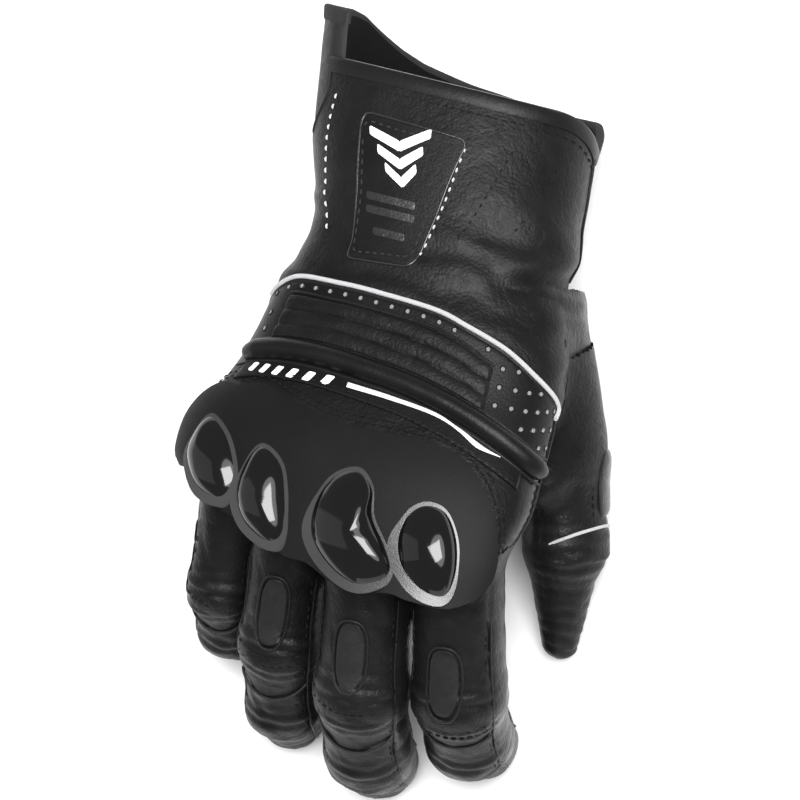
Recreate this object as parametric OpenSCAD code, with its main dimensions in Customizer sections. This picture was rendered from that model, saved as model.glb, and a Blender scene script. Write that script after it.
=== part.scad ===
// Short-cuff riding glove for the right hand, standing on its fingertips, thumb and cuff hem.
// Millimetres. +Z is the back of the hand, -Y the fingers, +Y the cuff, +X the thumb side.

/* [Hand] */
// Distance from the knuckle row back to the wrist
back_len = 80; // [66:1:96]
// Width of the glove at the wrist
wrist_w = 75; // [62:1:90]
// Height of the glove at the wrist
wrist_h = 40; // [34:1:48]
// Room left beside the outer fingers inside the hand, thumb side
side_room = 3.6; // [1:0.2:6]
// Height of the hand shell at the knuckles
knuckle_h = 37; // [34:1:44]
// Downward tilt of the knuckle row toward the little finger
knuckle_tilt = 7; // [0:1:9]

/* [Cuff] */
// Length of the cuff on the back of the hand
cuff_len = 50; // [40:1:60]
// Width of the cuff at its hem
cuff_w = 83; // [76:1:100]
// Height of the cuff at its hem
cuff_h = 57; // [50:1:68]
// How far the palm side of the cuff reaches past the back side
cuff_peak = 15; // [5:1:18]

/* [Leather] */
// Thickness of the outer leather
leather_t = 1.5; // [1:0.1:2.2]
// Thickness of the lining
lining_t = 0.8; // [0.5:0.1:1.2]
// Gap between stacked layers
layer_gap = 0.2; // [0.15:0.05:0.3]
// Wall of a finger stall
stall_t = 1.5; // [1.2:0.1:2]
// Clearance between a stall and the socket it turns in
joint_gap = 0.4; // [0.3:0.05:0.6]

/* [Fingers] */
// Outer radius of the index finger at its knuckle
index_r = 13; // [11:0.5:15.5]
// Knuckle to middle joint of the index finger
index_len = 43; // [36:1:52]
// Outer radius of the middle finger at its knuckle
middle_r = 12.3; // [11:0.1:15]
// Knuckle to middle joint of the middle finger
middle_len = 48; // [40:1:58]
// Outer radius of the ring finger at its knuckle
ring_r = 11.3; // [10:0.1:13.6]
// Knuckle to middle joint of the ring finger
ring_len = 44; // [37:1:53]
// Outer radius of the little finger at its knuckle
little_r = 9.8; // [9:0.1:12]
// Knuckle to middle joint of the little finger
little_len = 37; // [31:1:45]
// Gap between neighbouring fingers
finger_gap = 0.8; // [0.5:0.1:3]
// Outer radius of the thumb at its knuckle
thumb_r = 12; // [10:0.5:13]

/* [Guard] */
// Thickness of the knuckle guard shell
guard_t = 2.4; // [1.6:0.1:3.2]
// Thickness of the foam under the guard
foam_t = 2; // [1.2:0.1:3]
// Height of the knuckle inserts above the guard
insert_h = 7; // [4:0.5:9]

/* [Strap] */
// Width of the wrist strap
strap_w = 20; // [14:1:26]
// Thickness of the wrist strap
strap_t = 1.8; // [1.2:0.1:2.4]

/* [Hidden] */
$fn = 48;

// ---- Fingers: [knuckle radius, tip radius, knuckle Y, lengths, angles below horizontal, splay] ----
nest = stall_t + joint_gap;            // radius lost where one stall turns inside another
knuckle_y = -38;
FING = [
  [index_r,  index_r - 2,    knuckle_y,     [index_len, 26, 14.5],  [28, 62, 85], 4.6],
  [middle_r, middle_r - 0.8, knuckle_y,     [middle_len, 29, 15.5], [24, 55, 78], 3],
  [ring_r,   ring_r - 1.5,   knuckle_y + 4, [ring_len, 27, 14.5],   [24, 50, 75], 0],
  [little_r, little_r - 1.3, knuckle_y + 8, [little_len, 21, 13],   [25, 60, 82], 0]];
function fr(f) = FING[f][0];
function dirv(a) = [0, -cos(a), -sin(a)];
// finger centre lines stand side by side with a gap, middle finger first
x_mid = 20;
x_idx = x_mid + middle_r + index_r + finger_gap;
x_rng = x_mid - middle_r - ring_r - finger_gap - 1;
x_lit = x_rng - ring_r - little_r - finger_gap;
FX = [x_idx, x_mid, x_rng, x_lit];
// each knuckle is as high as its finger is long, so that the fingertip just touches z = 0
function drop(f) = FING[f][3][0] * sin(FING[f][4][0]) + FING[f][3][1] * sin(FING[f][4][1])
  + FING[f][3][2] * sin(FING[f][4][2]);
function mcp(f) = [FX[f], FING[f][2], FING[f][1] + drop(f)];
function pip(f) = mcp(f) + FING[f][3][0] * dirv(FING[f][4][0]) + [FING[f][5], 0, 0];
function dip(f) = pip(f) + FING[f][3][1] * dirv(FING[f][4][1]);
function tip(f) = dip(f) + FING[f][3][2] * dirv(FING[f][4][2]);

// ---- Hand and cuff surface: sections at stations along Y ----
x_right = x_idx + index_r + side_room + leather_t + lining_t;
x_left = x_lit - little_r - 0.6 - leather_t - lining_t;
hand_cx = (x_left + x_right) / 2;
hand_a = (x_right - x_left) / 2;
top_z = max(mcp(0)[2] + index_r - sin(knuckle_tilt) * (x_idx - hand_cx) + 1,
            mcp(1)[2] + middle_r) + leather_t + lining_t + 3 * layer_gap + 0.8;
kz = top_z - knuckle_h / 2;
wrist_y = knuckle_y + back_len;
cuff_y = wrist_y + cuff_len;
wrist_cx = hand_cx + 1.5;
cuff_cx = wrist_cx - 10;
wrist_z = 27 + wrist_h / 2;
mid_y = knuckle_y + 0.54 * back_len;
mid_z = (kz + wrist_z) / 2 - 1;
hem_t = 2.4;                            // the hem's rest face is flat at z = 0
cuff_z = cuff_h / 2 + hem_t;
// [y, centre x, half width, centre z, half height, tilt]
ST = [[knuckle_y - 16, hand_cx - 0.5, hand_a, kz, knuckle_h / 2, knuckle_tilt],
      [knuckle_y, hand_cx, hand_a, kz, knuckle_h / 2, knuckle_tilt],
      [knuckle_y + 20, hand_cx - 0.6, hand_a - 0.6, kz - 3, knuckle_h / 2 + 0.5, knuckle_tilt * 0.8],
      [mid_y, hand_cx + 2, (hand_a + wrist_w / 2) / 2 + 1.6, mid_z, (knuckle_h + wrist_h) / 4,
        knuckle_tilt * 0.5],
      [wrist_y - 16, wrist_cx + 0.5, wrist_w / 2 + 5, wrist_z + 4, wrist_h / 2, knuckle_tilt * 0.3],
      [wrist_y, wrist_cx, wrist_w / 2, wrist_z, wrist_h / 2, knuckle_tilt * 0.1],
      [wrist_y + cuff_len * 0.56, cuff_cx + 3.4, cuff_w / 2 - 1.4, (wrist_z + cuff_z) / 2 - 1,
        (wrist_h + cuff_h) / 4 + 1, 0],
      [cuff_y, cuff_cx, cuff_w / 2, cuff_z, cuff_h / 2, 0],
      [cuff_y + cuff_peak + 6, cuff_cx - 4, cuff_w / 2, cuff_z - 1.2, cuff_h / 2 - 1.2, 0]];
function slope(i) = i == 0 ? (ST[1] - ST[0]) / (ST[1][0] - ST[0][0])
  : i == len(ST) - 1 ? (ST[i] - ST[i - 1]) / (ST[i][0] - ST[i - 1][0])
  : (ST[i + 1] - ST[i - 1]) / (ST[i + 1][0] - ST[i - 1][0]);
function seg(y, i = 0) = i >= len(ST) - 2 || y < ST[i + 1][0] ? i : seg(y, i + 1);
// smooth curve through the stations
function sec(y) = let (i = seg(y), h = ST[i + 1][0] - ST[i][0], t = (y - ST[i][0]) / h)
  (2 * t * t * t - 3 * t * t + 1) * ST[i] + (t * t * t - 2 * t * t + t) * h * slope(i)
  + (3 * t * t - 2 * t * t * t) * ST[i + 1] + (t * t * t - t * t) * h * slope(i + 1);
SQ = 2 / 2.35;                          // roundness of a section, 1 is an ellipse
function sp(v) = sign(v) * pow(abs(v), SQ);
// point on the hand: angle 0 is the thumb side, 90 the back, 180 the outer side, 270 the palm
function hs(y, th, off = 0) = let (s = sec(y), u = (s[2] + off) * sp(cos(th)),
    w = (s[4] + off) * sp(sin(th)))
  [s[1] + u * cos(s[5]) - w * sin(s[5]), y, s[3] + u * sin(s[5]) + w * cos(s[5])];

// closed curved sheet between two Y edges (functions of angle) and two offsets
DT = 7.5;                               // one angular grid, so that stacked sheets never cross
module sheet(t0, t1, ya, yb, o0, o1, nv = 8) {
  nu = ceil((t1 - t0) / DT - 0.01);
  m = nv + 1;
  ang = [for (i = [0 : nu]) min(t1, (floor(t0 / DT + 0.001) + i) * DT < t0 ? t0
    : i == nu ? t1 : (floor(t0 / DT + 0.001) + i) * DT)];
  pts = [for (o = [o0, o1]) for (i = [0 : nu]) for (j = [0 : nv])
    let (a = ang[i], y = ya(a) + (yb(a) - ya(a)) * j / nv) hs(y, a, o)];
  n = (nu + 1) * m;
  faces = concat(
    [for (i = [0 : nu - 1]) for (j = [0 : nv - 1]) for (k = [0, 1])
      let (a = i * m + j, b = a + m) k ? [a, b + 1, a + 1] : [a, b, b + 1]],
    [for (i = [0 : nu - 1]) for (j = [0 : nv - 1]) for (k = [0, 1])
      let (a = n + i * m + j, b = a + m) k ? [a, a + 1, b + 1] : [a, b + 1, b]],
    [for (i = [0 : nu - 1]) for (e = [0, nv]) for (k = [0, 1])
      let (a = i * m + e, b = a + m, q = e == 0 ? [[a, a + n, b + n], [a, b + n, b]]
        : [[a, b, b + n], [a, b + n, a + n]]) q[k]],
    [for (j = [0 : nv - 1]) for (e = [0, nu]) for (k = [0, 1])
      let (a = e * m + j, b = a + 1, q = e == 0 ? [[a, b, b + n], [a, b + n, a + n]]
        : [[a, a + n, b + n], [a, b + n, b]]) q[k]]);
  polyhedron(pts, [for (f = faces) [f[2], f[1], f[0]]]);
}
// outward normal of the hand's surface
function normal(y, a) = let (n = cross(hs(y + 1, a) - hs(y - 1, a), hs(y, a + 1) - hs(y, a - 1)))
  n / norm(n);
function at(v) = function(a) v;
function slant(v0, v1, t0, t1) = function(a) v0 + (v1 - v0) * (a - t0) / (t1 - t0);

// layers of the hand, outward from the leather's outside face
lin_o = -leather_t - layer_gap;
function edge_top(a) = 0;

// front edge of the hand: a hood over the knuckles, cut back under them so that fingers can bend
hood_y = knuckle_y - 11;
palm_y = knuckle_y + max(index_r, middle_r) + 4;
function side_front(a, back) = knuckle_y - 2 + back * pow(a / 52.5, 1.3);
function palm_front(a) = palm_y + 4.5 * max(0, min(1, (280 - a) / 60));

// ---- Hand panels ----
module back_hand_panel() color("#1c1c1e")
  sheet(22.5, 157.5, at(hood_y), at(wrist_y - 0.1), -leather_t, 0, 12);

module thumb_side_wall() color("#222224")
  difference() {
    sheet(-30, 22.2, function(a) side_front(22.5 - a, 20), at(wrist_y - 0.1), -leather_t, 0, 10);
    thumb_hole();
  }

module outer_side_wall() color("#222224")
  sheet(157.8, 210, function(a) side_front(a - 157.5, 30), at(wrist_y - 0.1), -leather_t, 0, 14);

module palm_panel() color("#2a2a2c")
  difference() {
    sheet(210.3, 329.7, function(a) palm_front(a), at(wrist_y - 0.1), -leather_t, 0, 8);
    thumb_hole();
  }

module hand_lining_back() color("#0c0c0c")
  sheet(15, 165, at(hood_y + 1), at(wrist_y), lin_o - lining_t, lin_o, 12);

module hand_lining_palm() color("#101010")
  difference() {
    sheet(165.3, 374.7, function(a) a < 210 ? side_front(a - 157.5, 30) + 3 : a > 330 ? side_front(382.5 - a, 20) + 3
      : palm_front(a) + 1,
      at(wrist_y), lin_o - lining_t, lin_o, 14);
    thumb_hole();
  }

// ---- Cuff ----
function cuff_back_y(a) = cuff_y - 1 - 7 * pow(max(0, (40 - a) / 40), 2);
function cuff_palm_y(a) = cuff_y - 1 + cuff_peak * (a < 200 ? pow(max(0, (a - 180) / 20), 0.7)
  : pow(max(0, 1 - (a - 200) / 100), 2.6)) - 7 * pow(max(0, (a - 320) / 40), 2);
hem_w = 5;
rest_w = 24;

module cuff_back_panel() color("#1c1c1e")
  sheet(0, 180, at(wrist_y + 0.1), function(a) cuff_back_y(a) - hem_w, -leather_t, 0, 8);

module cuff_binding() color("#2c2c2e")
  sheet(0, 180, function(a) cuff_back_y(a) - hem_w + 0.2, function(a) cuff_back_y(a),
    -leather_t - 0.2, 0.5, 2);

module cuff_palm_panel() color("#242426")
  sheet(180.3, 359.7, at(wrist_y + 0.1), function(a) cuff_palm_y(a) - hem_w, -leather_t, 0, 8);

// the palm-side hem carries a flat face at z = 0 that the cuff rests on
module cuff_palm_hem() color("#8a8a8c")
  union() {
    sheet(180.3, 359.7, function(a) cuff_palm_y(a) - hem_w + 0.2, function(a) cuff_palm_y(a),
      -leather_t - 0.2, 0.5, 3);
    translate([cuff_cx - rest_w / 2, cuff_y - hem_w + 1, 0]) cube([rest_w, hem_w - 2, hem_t + 0.6]);
  }

module cuff_lining() color("#0a0a0a")
  sheet(180.3, 539.7, at(wrist_y + 0.3), function(a) (a < 360 ? cuff_palm_y(a)
    : cuff_back_y(a - 360)) - hem_w - 1, lin_o - lining_t, lin_o, 8);

module emblem_patch() color("#242427")
  sheet(82.5, 127.5, slant(wrist_y + 4, wrist_y + 6, 82.5, 127.5), at(cuff_y - 11),
    layer_gap, 1.4, 6);

// generic mark: three slanted bars
module emblem() color("#f2f2f2")
  for (k = [0 : 2])
    sheet(93 + 8 * k, 97.5 + 8 * k, slant(cuff_y - 26, cuff_y - 22, 93 + 8 * k, 97.5 + 8 * k),
      slant(cuff_y - 17, cuff_y - 15, 93 + 8 * k, 97.5 + 8 * k), 1.4 + layer_gap, 2.1, 2);

// ---- Back of the hand, cuff to knuckles ----
function pipe_y(a) = wrist_y - 14 - 17 * pow(max(0, (75 - a) / 75), 1.7)
  - 6 * pow(max(0, (a - 110) / 60), 2);
function band_y(a) = knuckle_y + 43 - 14 * pow(max(0, (85 - a) / 85), 1.5);
band_w = 6.8;
band_h = 3.6;

module reflective_piping() color("#b9bcc0")
  sheet(18, 168, function(a) pipe_y(a), function(a) pipe_y(a) + 1.8, layer_gap, 1.6, 1);

module perforated_panel() color("#1a1a1c")
  difference() {
    union() {
      sheet(18, 67.5, function(a) band_y(a) + band_w + 0.4, function(a) pipe_y(a) - 0.3,
        layer_gap, 1.1, 3);
      sheet(67.5, 168, function(a) pipe_y(a) - 4.8, function(a) pipe_y(a) - 0.3,
        layer_gap, 1.1, 1);
    }
    for (a = [27 : 6 : 165])
      let (p = hs(pipe_y(a) - 2.6, a), q = hs(pipe_y(a) - 2.6, a, 2))
        translate(p) point_at(q - p) translate([0, 0, -1]) cylinder(r = 0.6, h = 4, $fn = 16);
    for (a = [26 : 7 : 62]) for (k = [1 : 2])
      let (y = pipe_y(a) - 2.6 - 4.6 * k, p = hs(y, a + 3 * k), q = hs(y, a + 3 * k, 2))
        if (y > band_y(a + 3 * k) + band_w + 2)
          translate(p) point_at(q - p) translate([0, 0, -1]) cylinder(r = 0.6, h = 4, $fn = 16);
  }

// padded stretch panel with ridges across the hand
module quilted_panel() color("#202023")
  for (k = [0 : 3])
    sheet(67.5, 159, function(a) band_y(a) + band_w + 0.4 + k * quilt_p(a),
      function(a) band_y(a) + band_w + 0.2 + (k + 1) * quilt_p(a), layer_gap, 2.2, 2);
function quilt_p(a) = (pipe_y(a) - 5.2 - band_y(a) - band_w - 0.4) / 4;

module knuckle_band() color("#19191b")
  sheet(12, 170, function(a) band_y(a), function(a) band_y(a) + band_w, layer_gap, band_h, 3);

module band_stripe() color("#f4f4f4")
  sheet(36, 97.5, function(a) band_y(a) - 2.2, function(a) band_y(a) - 0.4 - 0.8 * (97.5 - a) / 61.5,
    layer_gap, 0.8, 1);

// ---- Knuckle guard ----
guard_o = layer_gap + foam_t;
function guard_back(a) = band_y(a) - 8 - 9 * pow(abs(a - 95) / 75, 3);
function guard_front(a) = hood_y - 3.5 + 10 * pow(abs(a - 88) / 78, 3);

module knuckle_foam() color("#303034")
  difference() {
    sheet(24, 166.5, function(a) guard_front(a) + 2.4, function(a) guard_back(a) - 1.6,
      layer_gap, guard_o, 6);
    for (f = [0 : 3]) at_insert(f) translate([0, 0, -6]) oval(f, rim_t + 2 * layer_gap, 14);
  }

module knuckle_guard() color("#151517")
  difference() {
    sheet(21, 168, function(a) guard_front(a), function(a) guard_back(a),
      guard_o + layer_gap, guard_o + layer_gap + guard_t, 8);
    for (f = [0 : 3]) at_insert(f) translate([0, 0, -6]) oval(f, rim_t + 2 * layer_gap, 20);
  }

// each insert: [Y behind its knuckle, angle on the hand, half width, half length, turn]
rim_t = 1.4;
function th_at(f) = let (u = (FX[f] - hand_cx) / hand_a) acos(sign(u) * pow(abs(u), 1 / SQ));
INS = [[-2.4, th_at(0) - 1, 8, 13, -6], [-1.2, th_at(1), 9, 13, -10], [0.6, th_at(2) + 3, 7.2, 12, 4],
  [2, th_at(3) + 4, 6, 11, 4]];
module at_insert(f) {
  y = FING[f][2] + INS[f][0];
  n = normal(y, INS[f][1]);
  translate(hs(y, INS[f][1])) point_at(n) rotate([0, 0, INS[f][4] + turn_up(n)]) children();
}
function turn_up(v) = -atan2(v[1], v[0]);
function ell(a, b, n = 28) = [for (i = [0 : n - 1]) [a * cos(360 * i / n), b * sin(360 * i / n)]];
module oval(f, grow, h) linear_extrude(h) polygon(ell(INS[f][2] + grow, INS[f][3] + grow));
insert_z = guard_o + layer_gap + guard_t;

module insert_shape(f) {
  n = 28;
  lev = [[1, 0.5], [1, insert_z + 0.6], [0.93, insert_z + insert_h * 0.55],
    [0.75, insert_z + insert_h * 0.84], [0.42, insert_z + insert_h * 0.97]];
  pts = concat([for (l = lev) for (p = ell(INS[f][2], INS[f][3])) [p[0] * l[0], p[1] * l[0], l[1]]],
    [[0, 0, insert_z + insert_h]]);
  faces = concat([[for (i = [0 : n - 1]) i]],
    [for (k = [0 : len(lev) - 2]) for (i = [0 : n - 1]) for (s = [0, 1])
      let (a = k * n + i, b = k * n + (i + 1) % n) s ? [a, b + n, b] : [a, a + n, b + n]],
    [for (i = [0 : n - 1]) [(len(lev) - 1) * n + i, len(pts) - 1, (len(lev) - 1) * n + (i + 1) % n]]);
  polyhedron(pts, faces);
}
module index_insert() color("#0b0b0c") at_insert(0) insert_shape(0);
module middle_insert() color("#0b0b0c") at_insert(1) insert_shape(1);
module ring_insert() color("#0b0b0c") at_insert(2) insert_shape(2);
module little_insert() color("#0b0b0c") at_insert(3) insert_shape(3);

module insert_rims() color("#6c6e72")
  for (f = [0 : 3]) at_insert(f)
    translate([0, 0, 0.5]) difference() {
      oval(f, layer_gap + rim_t, insert_z + 0.9);
      translate([0, 0, -1]) oval(f, layer_gap, insert_z + 4);
    }

// ---- Palm ----
module palm_reinforcement() color("#2f2f32")
  sheet(262.5, 315, function(a) palm_front(a) + 3, at(mid_y - 2), layer_gap, 1.5, 4);

module palm_heel_pad() color("#343438")
  sheet(215, 262, function(a) palm_front(a) + 10, at(mid_y + 14), layer_gap, 2.6, 4);

// ---- Wrist strap on the palm side ----
strap_y = wrist_y - 6;
loop_t = 1.1;
hook_t = 1;
strap_o = loop_t + hook_t + 2 * layer_gap + 0.4;
root_a = 232.5;
end_a = 296;
hinge_p = hs(strap_y, root_a, strap_o + strap_t);        // the strap's root edge is its hinge line
hinge_q = hs(strap_y + strap_w, root_a, strap_o + strap_t);

module strap_loop_patch() color("#3a3a3e")
  sheet(262.5, 294, at(strap_y + 1.5), at(strap_y + strap_w - 1.5), layer_gap, loop_t, 3);

module strap_anchor() color("#28282b")
  sheet(217.5, 231.5, at(strap_y), at(strap_y + strap_w), layer_gap, strap_o + strap_t, 3);

module wrist_strap() color("#232326")
  sheet(root_a, end_a, at(strap_y), at(strap_y + strap_w), strap_o, strap_o + strap_t, 3);

module strap_hook_patch() color("#45454a")
  sheet(265, 292.5, at(strap_y + 2), at(strap_y + strap_w - 2), strap_o - hook_t - layer_gap,
    strap_o - layer_gap, 3);

module strap_end_tab() color("#3c3c40")
  sheet(286, end_a - 1, at(strap_y + 3), at(strap_y + strap_w - 3), strap_o + strap_t + layer_gap,
    strap_o + strap_t + 1.2, 3);

module wrist_elastic() color("#1e1e20")
  for (k = [0 : 3])
    sheet(217.5, 322.5, at(wrist_y - 13 + 3.2 * k), at(wrist_y - 11 + 3.2 * k),
      lin_o - lining_t - layer_gap - 0.8, lin_o - lining_t - layer_gap, 1);

// ---- Stalls: hollow shells of revolution that turn in one another like ball and socket ----
module point_at(v) rotate([0, acos(v[2] / norm(v)), atan2(v[1], v[0])]) children();
function arc(z, r, a0, a1, n) = [for (i = [0 : n]) let (a = a0 + (a1 - a0) * i / n)
  [r * sin(a), z + r * cos(a)]];
// ball of radius r at 0 (open at the back), wall, then a sleeve of radius rs that covers a ball at l
module stall_profile(r, open_a, l, rs, cover) {
  ri = r - stall_t;
  outer = concat(arc(0, r, 180 - open_a, 95, 6), [[(r + rs) / 2, l * 0.5]],
    [for (p = arc(l, rs, 90, 90 - cover, 3)) p]);
  inner = concat([for (p = arc(l, rs - stall_t, 90 - cover, 90, 3)) p],
    [[(r + rs) / 2 - stall_t, l * 0.5]], arc(0, ri, 92, 180 - open_a, 6));
  rotate_extrude($fn = 48) polygon(concat(outer, inner));
}
// bead between two balls, open at both ends
module bead_profile(r0, r1, l, a0, a1) {
  outer = concat(arc(0, r0, 180 - a0, 90, 5), arc(l, r1, 90, a1, 5));
  inner = concat(arc(l, r1 - stall_t, a1, 88, 5), arc(0, r0 - stall_t, 92, 180 - a0, 5));
  rotate_extrude($fn = 48) polygon(concat(outer, inner));
}
// closed tip with a cup mouth around a ball at 0
module tip_profile(rs, back, l, r) {
  outer = concat(arc(0, rs, 90 + back, 88, 2), [[(rs + r) / 2 + 0.2, l * 0.5]], arc(l, r, 88, 0.01, 7));
  inner = concat(arc(l, r - stall_t, 0.01, 88, 7), arc(0, rs - stall_t, 88, 90 + back, 2));
  rotate_extrude($fn = 48) polygon(concat(outer, inner));
}
// swing room: cuts a sleeve's mouth back to where a wall of radius r can swing to, from the
// direction `dir` (degrees below horizontal) down by `down` and up by `up`, about the joint at c
module swing_cut(c, dir, down, up, r, reach = 45, w = 60) {
  d = function(a) [sin(a), -cos(a)];
  lo = dir + down;
  hi = dir - up;
  translate(c) rotate([0, 90, 0]) linear_extrude(w, center = true)
    polygon(concat([r * d(lo + 90), r * d(lo + 90) + reach * d(lo)],
      [for (k = [0 : 6]) reach * 1.3 * d(lo + (hi - lo) * k / 6)],
      [r * d(hi - 90) + reach * d(hi), r * d(hi - 90)]));
}

// bend room kept by the finger joints, just past their real range
bend_down = 47;
bend_up = 22;
tip_down = 33;
tip_up = 16;

function body_r(f) = fr(f) - nest;      // radius of the middle segment, inside both its neighbours

module base_stall(f) difference() {
  translate(mcp(f)) point_at(pip(f) - mcp(f))
    stall_profile(fr(f), 56, norm(pip(f) - mcp(f)), fr(f), 34);
  swing_cut(pip(f), FING[f][4][1], bend_down, bend_up, body_r(f) + joint_gap);
}
module middle_stall(f)
  translate(pip(f)) point_at(dip(f) - pip(f))
    bead_profile(body_r(f), body_r(f) - 0.9, norm(dip(f) - pip(f)), 52, 48);
module tip_stall(f) difference() {
  translate(dip(f)) point_at(tip(f) - dip(f))
    tip_profile(body_r(f) - 0.9 + nest, 34, norm(tip(f) - dip(f)), FING[f][1]);
  swing_cut(dip(f), FING[f][4][1] + 180, tip_up, tip_down, body_r(f) - 0.9 + joint_gap);
}
// padded strip on the back of a base stall
module pad(f, s0, s1, w)
  translate(mcp(f)) point_at(pip(f) - mcp(f)) rotate([0, 0, 180 - w / 2])
    rotate_extrude(angle = w, $fn = 60)
      polygon([[fr(f) + 0.25, s0], [fr(f) + 1.4, s0], [fr(f) + 2.4, s0 + 3],
        [fr(f) + 2.4, s1 - 3], [fr(f) + 1.4, s1], [fr(f) + 0.25, s1]]);
module index_base_stall() color("#1d1d20") base_stall(0);
module index_middle_stall() color("#26262a") middle_stall(0);
module index_tip_stall() color("#1a1a1c") tip_stall(0);
module index_pad() color("#333338") pad(0, 19, index_len - 3, 52);
module middle_base_stall() color("#1d1d20") base_stall(1);
module middle_middle_stall() color("#26262a") middle_stall(1);
module middle_tip_stall() color("#1a1a1c") tip_stall(1);
module middle_pad() color("#333338") pad(1, 22, middle_len - 3, 52);
module ring_base_stall() color("#1d1d20") base_stall(2);
module ring_middle_stall() color("#26262a") middle_stall(2);
module ring_tip_stall() color("#1a1a1c") tip_stall(2);
module ring_pad() color("#333338") pad(2, 19, ring_len - 3, 52);
module little_base_stall() color("#1d1d20") base_stall(3);
module little_middle_stall() color("#26262a") middle_stall(3);
module little_tip_stall() color("#1a1a1c") tip_stall(3);

// ---- Thumb ----
thumb_tip_r = 9.5;
thumb_root_len = 34;
thumb_base_len = 27;
thumb_tip_len = 25;
thumb_a = 19;                           // the thumb's slope below horizontal
thumb_out = 11;                         // its splay away from the fingers
t_dir = [sin(thumb_out) * cos(thumb_a), -cos(thumb_out) * cos(thumb_a), -sin(thumb_a)];
t_dir2 = [sin(2) * cos(24), -cos(2) * cos(24), -sin(24)];
t_tip = [x_right - 1.2, knuckle_y - 13, thumb_tip_r];
t_ip = t_tip - thumb_tip_len * t_dir2;
t_mcp = t_ip - thumb_base_len * t_dir;
t_cmc = t_mcp - thumb_root_len * [sin(18) * cos(14), -cos(18) * cos(14), -sin(14)];
// flexing turns the thumb inward under the palm, about an axis across its own plane
t_axis = [0.12, 0.34, 0.93];
function unit(v) = v / norm(v);

module thumb_hole()
  translate(t_cmc) point_at(t_mcp - t_cmc) translate([0, 0, -8])
    cylinder(r = thumb_r - stall_t - 0.4, h = 34);

// closed solid of the hand between the knuckles and the wrist, used to trim the thumb's gusset
module hand_core(off) {
  nu = 48; nv = 8;
  y0 = knuckle_y + 2; y1 = wrist_y + 4;
  pts = [for (j = [0 : nv]) for (i = [0 : nu - 1]) hs(y0 + (y1 - y0) * j / nv, i * DT, off)];
  faces = concat([[for (i = [0 : nu - 1]) i]], [[for (i = [0 : nu - 1]) nv * nu + nu - 1 - i]],
    [for (j = [0 : nv - 1]) for (i = [0 : nu - 1]) for (k = [0, 1])
      let (a = j * nu + i, b = j * nu + (i + 1) % nu) k ? [a, b + nu, b] : [a, a + nu, b + nu]]);
  polyhedron(pts, [for (f = faces) [for (i = [len(f) - 1 : -1 : 0]) f[i]]]);
}

module thumb_gusset() color("#252528")
  difference() {
    translate(t_cmc) point_at(t_mcp - t_cmc)
      rotate_extrude($fn = 48) polygon([[thumb_r - stall_t, 0], [thumb_r, 0],
        [thumb_r, thumb_root_len - 6], [thumb_r - 0.5, thumb_root_len - 3],
        [thumb_r - 0.5 - stall_t, thumb_root_len - 3], [thumb_r - stall_t, thumb_root_len - 7]]);
    hand_core(layer_gap);
    swing_cut_thumb(t_mcp, t_mcp - t_ip);
  }
module swing_cut_thumb(c, v) translate(c) sphere(r = thumb_r - nest + joint_gap + 0.02);

module thumb_base_stall() color("#1d1d20")
  translate(t_mcp) point_at(t_ip - t_mcp)
    bead_profile(thumb_r - nest - 0.2, thumb_r - nest - 0.6, thumb_base_len, 50, 50);

module thumb_tip_stall() color("#1a1a1c")
  difference() {
    translate(t_ip) point_at(t_tip - t_ip) tip_profile(thumb_r - 0.5, 0, thumb_tip_len, thumb_tip_r);
    translate(t_ip) point_at(t_ip - t_tip) translate([0, 0, -5.5]) cylinder(r = 30, h = 60);
  }

// padded strip and piping along the outer face of the thumb
module on_thumb(p, q, turn) translate(p) point_at(q - p) rotate([0, 0, turn]) children();
module thumb_pad() color("#303034")
  on_thumb(t_mcp, t_ip, 78) rotate([0, 0, -24]) rotate_extrude(angle = 48, $fn = 60)
    polygon([[thumb_r - nest + 0.3, 4], [thumb_r - nest + 0.3, 20], [thumb_r + 0.2, 18.5],
      [thumb_r + 0.2, 5.5]]);
module thumb_piping() color("#9ea0a4")
  on_thumb(t_mcp, t_ip, 150) rotate([0, 0, -26]) rotate_extrude(angle = 52, $fn = 60)
    polygon([[thumb_r - nest + 0.2, 12], [thumb_r - nest + 0.2, 13.6], [thumb_r - nest + 1.2, 13.4],
      [thumb_r - nest + 1.2, 12.2]]);

// ---- Origin: centre of the footprint ----
org_x = (x_left - insert_z + 0.2 + t_ip[0] + thumb_r - 0.7) / 2;
org_y = (tip(1)[1] - FING[1][1] + cuff_y + cuff_peak - 1) / 2;

module place() translate([-org_x, -org_y, 0]) children();

place() back_hand_panel();
place() palm_panel();
place() thumb_side_wall();
place() outer_side_wall();
place() hand_lining_back();
place() hand_lining_palm();
place() cuff_back_panel();
place() cuff_palm_panel();
place() cuff_lining();
place() cuff_binding();
place() cuff_palm_hem();
place() emblem_patch();
place() emblem();
place() reflective_piping();
place() perforated_panel();
place() quilted_panel();
place() knuckle_band();
place() band_stripe();
place() knuckle_foam();
place() knuckle_guard();
place() index_insert();
place() middle_insert();
place() ring_insert();
place() little_insert();
place() insert_rims();
place() palm_reinforcement();
place() palm_heel_pad();
place() strap_loop_patch();
place() strap_anchor();
place() wrist_strap();
place() strap_hook_patch();
place() strap_end_tab();
place() wrist_elastic();
place() thumb_gusset();
place() thumb_base_stall();
place() thumb_tip_stall();
place() thumb_pad();
place() thumb_piping();
place() index_base_stall();
place() index_middle_stall();
place() index_tip_stall();
place() index_pad();
place() middle_base_stall();
place() middle_middle_stall();
place() middle_tip_stall();
place() middle_pad();
place() ring_base_stall();
place() ring_middle_stall();
place() ring_tip_stall();
place() ring_pad();
place() little_base_stall();
place() little_middle_stall();
place() little_tip_stall();
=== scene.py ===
"""Riding glove, right hand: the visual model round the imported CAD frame."""
import math

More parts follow.
